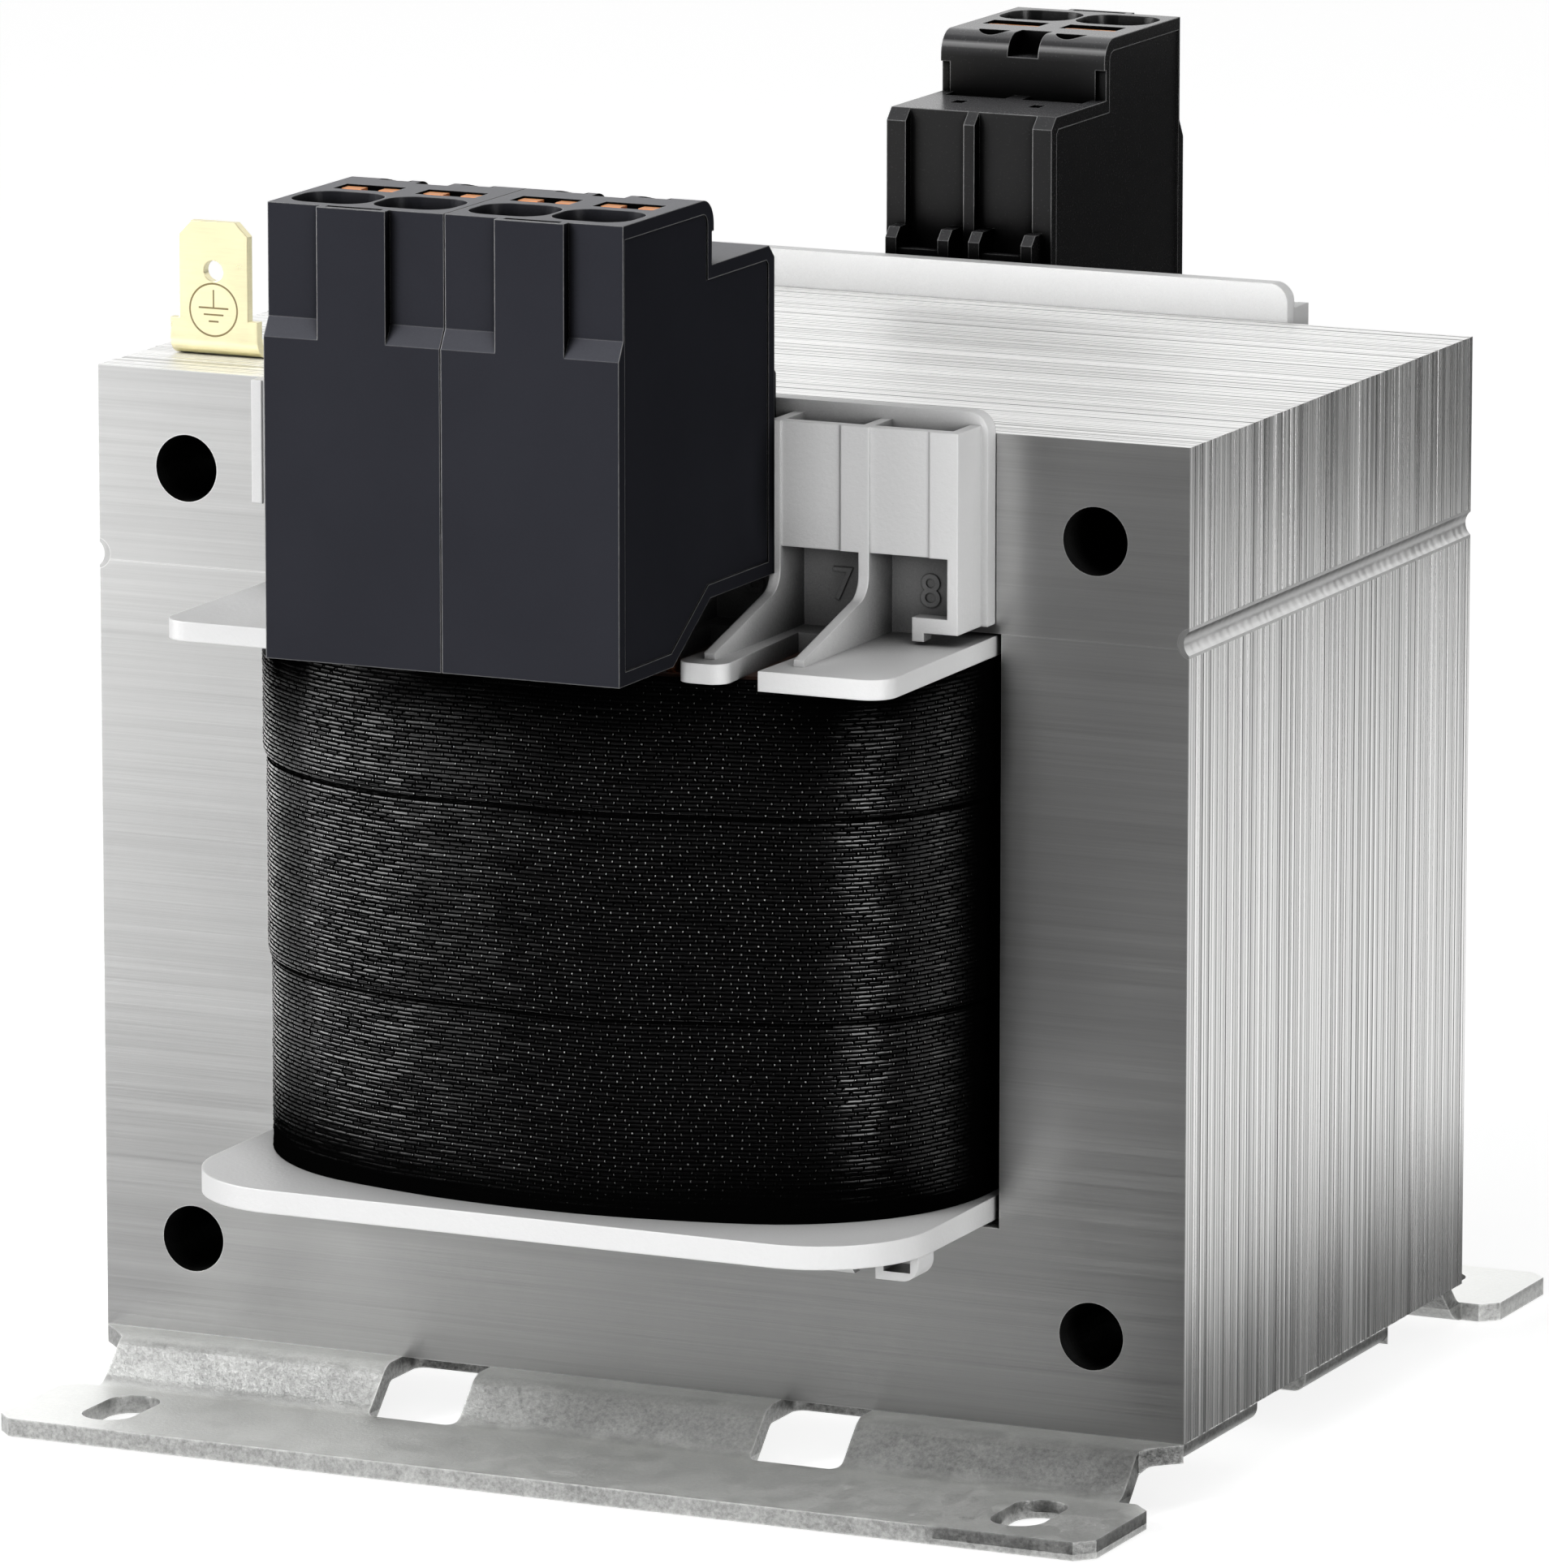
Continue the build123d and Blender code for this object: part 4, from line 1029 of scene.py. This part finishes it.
class BLOCKS_OT_housings(LookOperator, bpy.types.Operator):
    """Finish the terminal blocks with their contacts and springs"""

    bl_idname = "blocks.housings"
    bl_label = "Terminal blocks"

    def execute(self, context):
        colours = context.scene.transformer_colours
        matt = block_finish("charcoal_moulding", colours.charcoal, 0.0)
        polished = block_finish("polished_black_moulding", colours.black, 0.5)
        tin = wire_finish("tinned_copper", colours.tin, 0.28)
        leaf = wire_finish("spring_leaf", colours.tin, 0.2)
        for block in BLOCKS:
            dress(f"terminal_housing_{block}", polished if block == "rear" else matt)
            dress(f"contact_bars_{block}", tin)
            dress(f"clamp_springs_{block}", leaf)
        return {"FINISHED"}


class BLOCKS_OT_buttons(LookOperator, bpy.types.Operator):
    """Finish the release buttons"""

    bl_idname = "blocks.buttons"
    bl_label = "Release buttons"

    def execute(self, context):
        orange = orange_finish(context.scene.transformer_colours)
        for button in BUTTONS:
            dress(f"release_button_{button}", orange)
        return {"FINISHED"}


class CORE_OT_feet(LookOperator, bpy.types.Operator):
    """Finish the folded feet"""

    bl_idname = "core.feet"
    bl_label = "Feet"

    def execute(self, context):
        zinc = zinc_finish(context.scene.transformer_colours)
        for end in ("front", "rear"):
            dress(f"foot_bracket_{end}", zinc)
        return {"FINISHED"}


class CORE_OT_earth_tab(LookOperator, bpy.types.Operator):
    """Finish the earth tab and engrave its sign"""

    bl_idname = "core.earth_tab"
    bl_label = "Earth tab"

    # Middle of the sign below the tip of the blade, in millimetres
    sign_drop = 7.25

    def execute(self, context):
        low, high = millimetres("earth_tab")
        sign_x, sign_z = (low.x + high.x) / 2, high.z - self.sign_drop
        dress("earth_tab", brass_finish(context.scene.transformer_colours, sign_x, sign_z))
        return {"FINISHED"}


# Middle of the object, in metres
LAMP_TARGET = Vector((0.0, 0.0, 0.05))


def lamp(name, size_x, size_y, brightness, place, lights=True, gleams=True, only=None):
    """Soft box that faces the object and lights it, shows in its reflections, or both."""
    light = bpy.data.lights.new(name, "AREA")
    light.shape = "RECTANGLE"
    light.size, light.size_y = size_x, size_y
    light.energy = brightness * pi * size_x * size_y
    obj = bpy.data.objects.new(name, light)
    obj.location = place
    facing = LAMP_TARGET - Vector(place)
    obj.rotation_euler = facing.to_track_quat("-Z", "Y").to_euler()
    obj.visible_camera = False
    obj.visible_diffuse = lights
    obj.visible_glossy = gleams
    obj.light_linking.receiver_collection = only
    bpy.context.scene.collection.objects.link(obj)
    return obj


class STUDIO_OT_stage(LookOperator, bpy.types.Operator):
    """Set up the floor, the lights and the camera"""

    bl_idname = "studio.stage"
    bl_label = "Stage"

    # All in metres: half the floor's side, and how far it lies under the feet
    floor_half = 6.0
    floor_drop = 0.0002
    # Bent card: reach and height of its long edges, its middle, its turn and its steps
    bent_card = ((0.04, 0.0005), (0.55, 0.0005), (0.55, 0.6), (0.06, 0.65))
    bent_card_y = -0.03
    bent_card_start, bent_card_end = radians(-28), radians(92)
    bent_card_steps = 40
    # Level cards: left, front, right, rear and height
    grey_cards = ((-0.5, -0.4, 0.1, 0.1, 0.66), (0.05, -0.03, 0.075, 0.10, 0.0006))
    black_cards = ((-0.16, -0.13, 0.06, -0.066, 0.0017), (0.19, 0.305, 0.9, 1.2, 0.0006))
    # Upright black card behind the core: left, right, bottom and top, and where it stands
    upright_card = (0.02, 0.1, 0.05, 0.098)
    upright_card_y = 0.13
    # Longer side of the camera's sensor, in millimetres
    sensor = 36

    def execute(self, context):
        scene = context.scene
        studio = scene.transformer_studio
        scene.view_settings.view_transform = "Standard"
        self.add_floor()
        self.add_cards()
        self.add_lamps(studio)
        self.set_world(scene, studio)
        self.add_camera(scene, studio)
        return {"FINISHED"}

    def add_floor(self):
        """Pale floor that also stands in for the backdrop in reflections."""
        finish = Finish("pale_floor")
        grain = finish.noise(finish.place, 0.4, 3.0)
        matt = finish.principled({
            "Base Color": finish.shaded(grey(0.6), 0.98 + grain * 0.02), "Roughness": 0.9,
            "Emission Color": finish.shaded(grey(0.8), finish.backdrop_rays()),
            "Emission Strength": 1.0,
        })
        half = self.floor_half
        corners = [(-half, -half, 0), (half, -half, 0), (half, half, 0), (-half, half, 0)]
        floor = mesh_object("floor", corners, [(0, 1, 2, 3)], [finish.done(matt)])
        floor.location.z = -self.floor_drop

    @staticmethod
    def card_finish(name, level):
        """Felt of a grey level."""
        finish = Finish(name)
        felt = finish.noise(finish.place, 0.2, 2.0)
        return finish.done(finish.principled({
            "Base Color": finish.shaded(grey(level), 0.9 + felt * 0.2), "Roughness": 0.95,
            "Specular IOR Level": 0.0,
        }))

    def add_cards(self):
        """Dark cards that only reflections show, as a photographer sets them."""
        vertices, faces = [], []
        start, end, steps = self.bent_card_start, self.bent_card_end, self.bent_card_steps
        for step in range(steps + 1):
            turn = start + (end - start) * step / steps
            for reach, z in self.bent_card:
                vertices.append((reach * sin(turn), self.bent_card_y - reach * cos(turn), z))
        rows = len(self.bent_card)
        for step in range(steps):
            for row in range(rows - 1):
                a = step * rows + row
                faces.append((a, a + rows, a + rows + 1, a + 1))
        quads = []
        for left, front, right, rear, z in self.grey_cards + self.black_cards:
            quads.append([(left, front, z), (right, front, z), (right, rear, z), (left, rear, z)])
        left, right, bottom, top = self.upright_card
        y = self.upright_card_y
        quads.append([(left, y, bottom), (right, y, bottom), (right, y, top), (left, y, top)])
        for quad in quads:
            faces.append(tuple(range(len(vertices), len(vertices) + 4)))
            vertices += quad
        materials = [self.card_finish("grey_card", 0.3), self.card_finish("black_card", 0.03)]
        card = mesh_object("dark_card", vertices, faces, materials)
        black_faces = len(self.black_cards) + 1
        for face in card.data.polygons[-black_faces:]:
            face.material_index = 1
        card.visible_camera = False
        card.visible_diffuse = False
        card.visible_shadow = False

    @staticmethod
    def add_lamps(studio):
        """Lamps for the whole object, for the white mouldings, and for reflections alone."""
        lamp("key_box", 0.35, 0.35, studio.key, (-0.37, -0.6, 0.42), gleams=False)
        lamp("front_box", 0.35, 0.35, studio.front, (0.16, -0.75, 0.2), gleams=False)
        white = bpy.data.collections["white_mouldings"]
        lamp("side_box", 0.3, 0.3, studio.side, (0.5, -0.42, 0.12), gleams=False, only=white)
        lamp("rear_box", 0.3, 0.3, studio.side, (-0.25, 0.62, 0.2), gleams=False, only=white)
        lamp("top_box", 0.7, 0.7, studio.top, (-0.05, -0.1, 0.75))
        lamp("left_strip", 0.30, 0.40, studio.gleam, (-0.42, -0.24, 0.21), lights=False)
        lamp("right_strip", 0.16, 0.6, studio.gleam, (0.42, -0.2, 0.22), lights=False)

    @staticmethod
    def set_world(scene, studio):
        """White backdrop that gives only a weak light from all round."""
        world = bpy.data.worlds.new("studio")
        world.use_nodes = True
        sky = Nodes(world.node_tree)
        seen = sky.backdrop_rays()
        inputs = {"Color": grey(1.0), "Strength": seen + (1 - seen) * studio.fill}
        light = sky.node("ShaderNodeBackground", inputs=inputs)["Background"]
        sky.node("ShaderNodeOutputWorld", inputs={"Surface": light})
        scene.world = world

    def add_camera(self, scene, studio):
        """Camera where the photograph was taken from."""
        camera = bpy.data.cameras.new("camera")
        camera.lens = studio.lens
        camera.sensor_width = self.sensor
        camera.clip_start, camera.clip_end = 0.05, 30
        obj = bpy.data.objects.new("camera", camera)
        turn = Matrix.Rotation(studio.camera_turn, 4, "Z")
        tilt = Matrix.Rotation(pi / 2 - studio.camera_tilt, 4, "X")
        roll = Matrix.Rotation(studio.camera_roll, 4, "Z")
        obj.matrix_world = Matrix.Translation(studio.camera_place) @ turn @ tilt @ roll
        scene.collection.objects.link(obj)
        scene.camera = obj


class VIEW3D_PT_transformer(bpy.types.Panel):
    """Lists the operators in the sidebar"""

    bl_label = "Transformer"
    bl_space_type = "VIEW_3D"
    bl_region_type = "UI"
    bl_category = "Transformer"

    def draw(self, context):
        for operator in OPERATORS:
            self.layout.operator(operator.bl_idname)
        for group in GROUPS:
            settings = getattr(context.scene, group)
            for name in settings.__annotations__:
                self.layout.prop(settings, name)


GROUPS = {
    "transformer_core": CoreSizes,
    "transformer_tape": TapeSizes,
    "transformer_colours": FinishColours,
    "transformer_studio": StudioSizes,
}
OPERATORS = (
    CORE_OT_laminations,
    CORE_OT_feet,
    CORE_OT_earth_tab,
    COIL_OT_windings,
    COIL_OT_tape,
    BOBBIN_OT_moulding,
    BLOCKS_OT_housings,
    BLOCKS_OT_buttons,
    STUDIO_OT_stage,
)


def register():
    """Register the properties, the operators and the panel."""
    for name, group in GROUPS.items():
        bpy.utils.register_class(group)
        setattr(bpy.types.Scene, name, PointerProperty(type=group))
    for cls in OPERATORS + (VIEW3D_PT_transformer,):
        bpy.utils.register_class(cls)


def unregister():
    """Take them away again."""
    for cls in reversed(OPERATORS + (VIEW3D_PT_transformer,)):
        bpy.utils.unregister_class(cls)
    for name, group in GROUPS.items():
        delattr(bpy.types.Scene, name)
        bpy.utils.unregister_class(group)


def main():
    """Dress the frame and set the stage."""
    register()
    for operator in OPERATORS:
        group, name = operator.bl_idname.split(".")
        getattr(getattr(bpy.ops, group), name)()


if __name__ == "__main__":
    main()
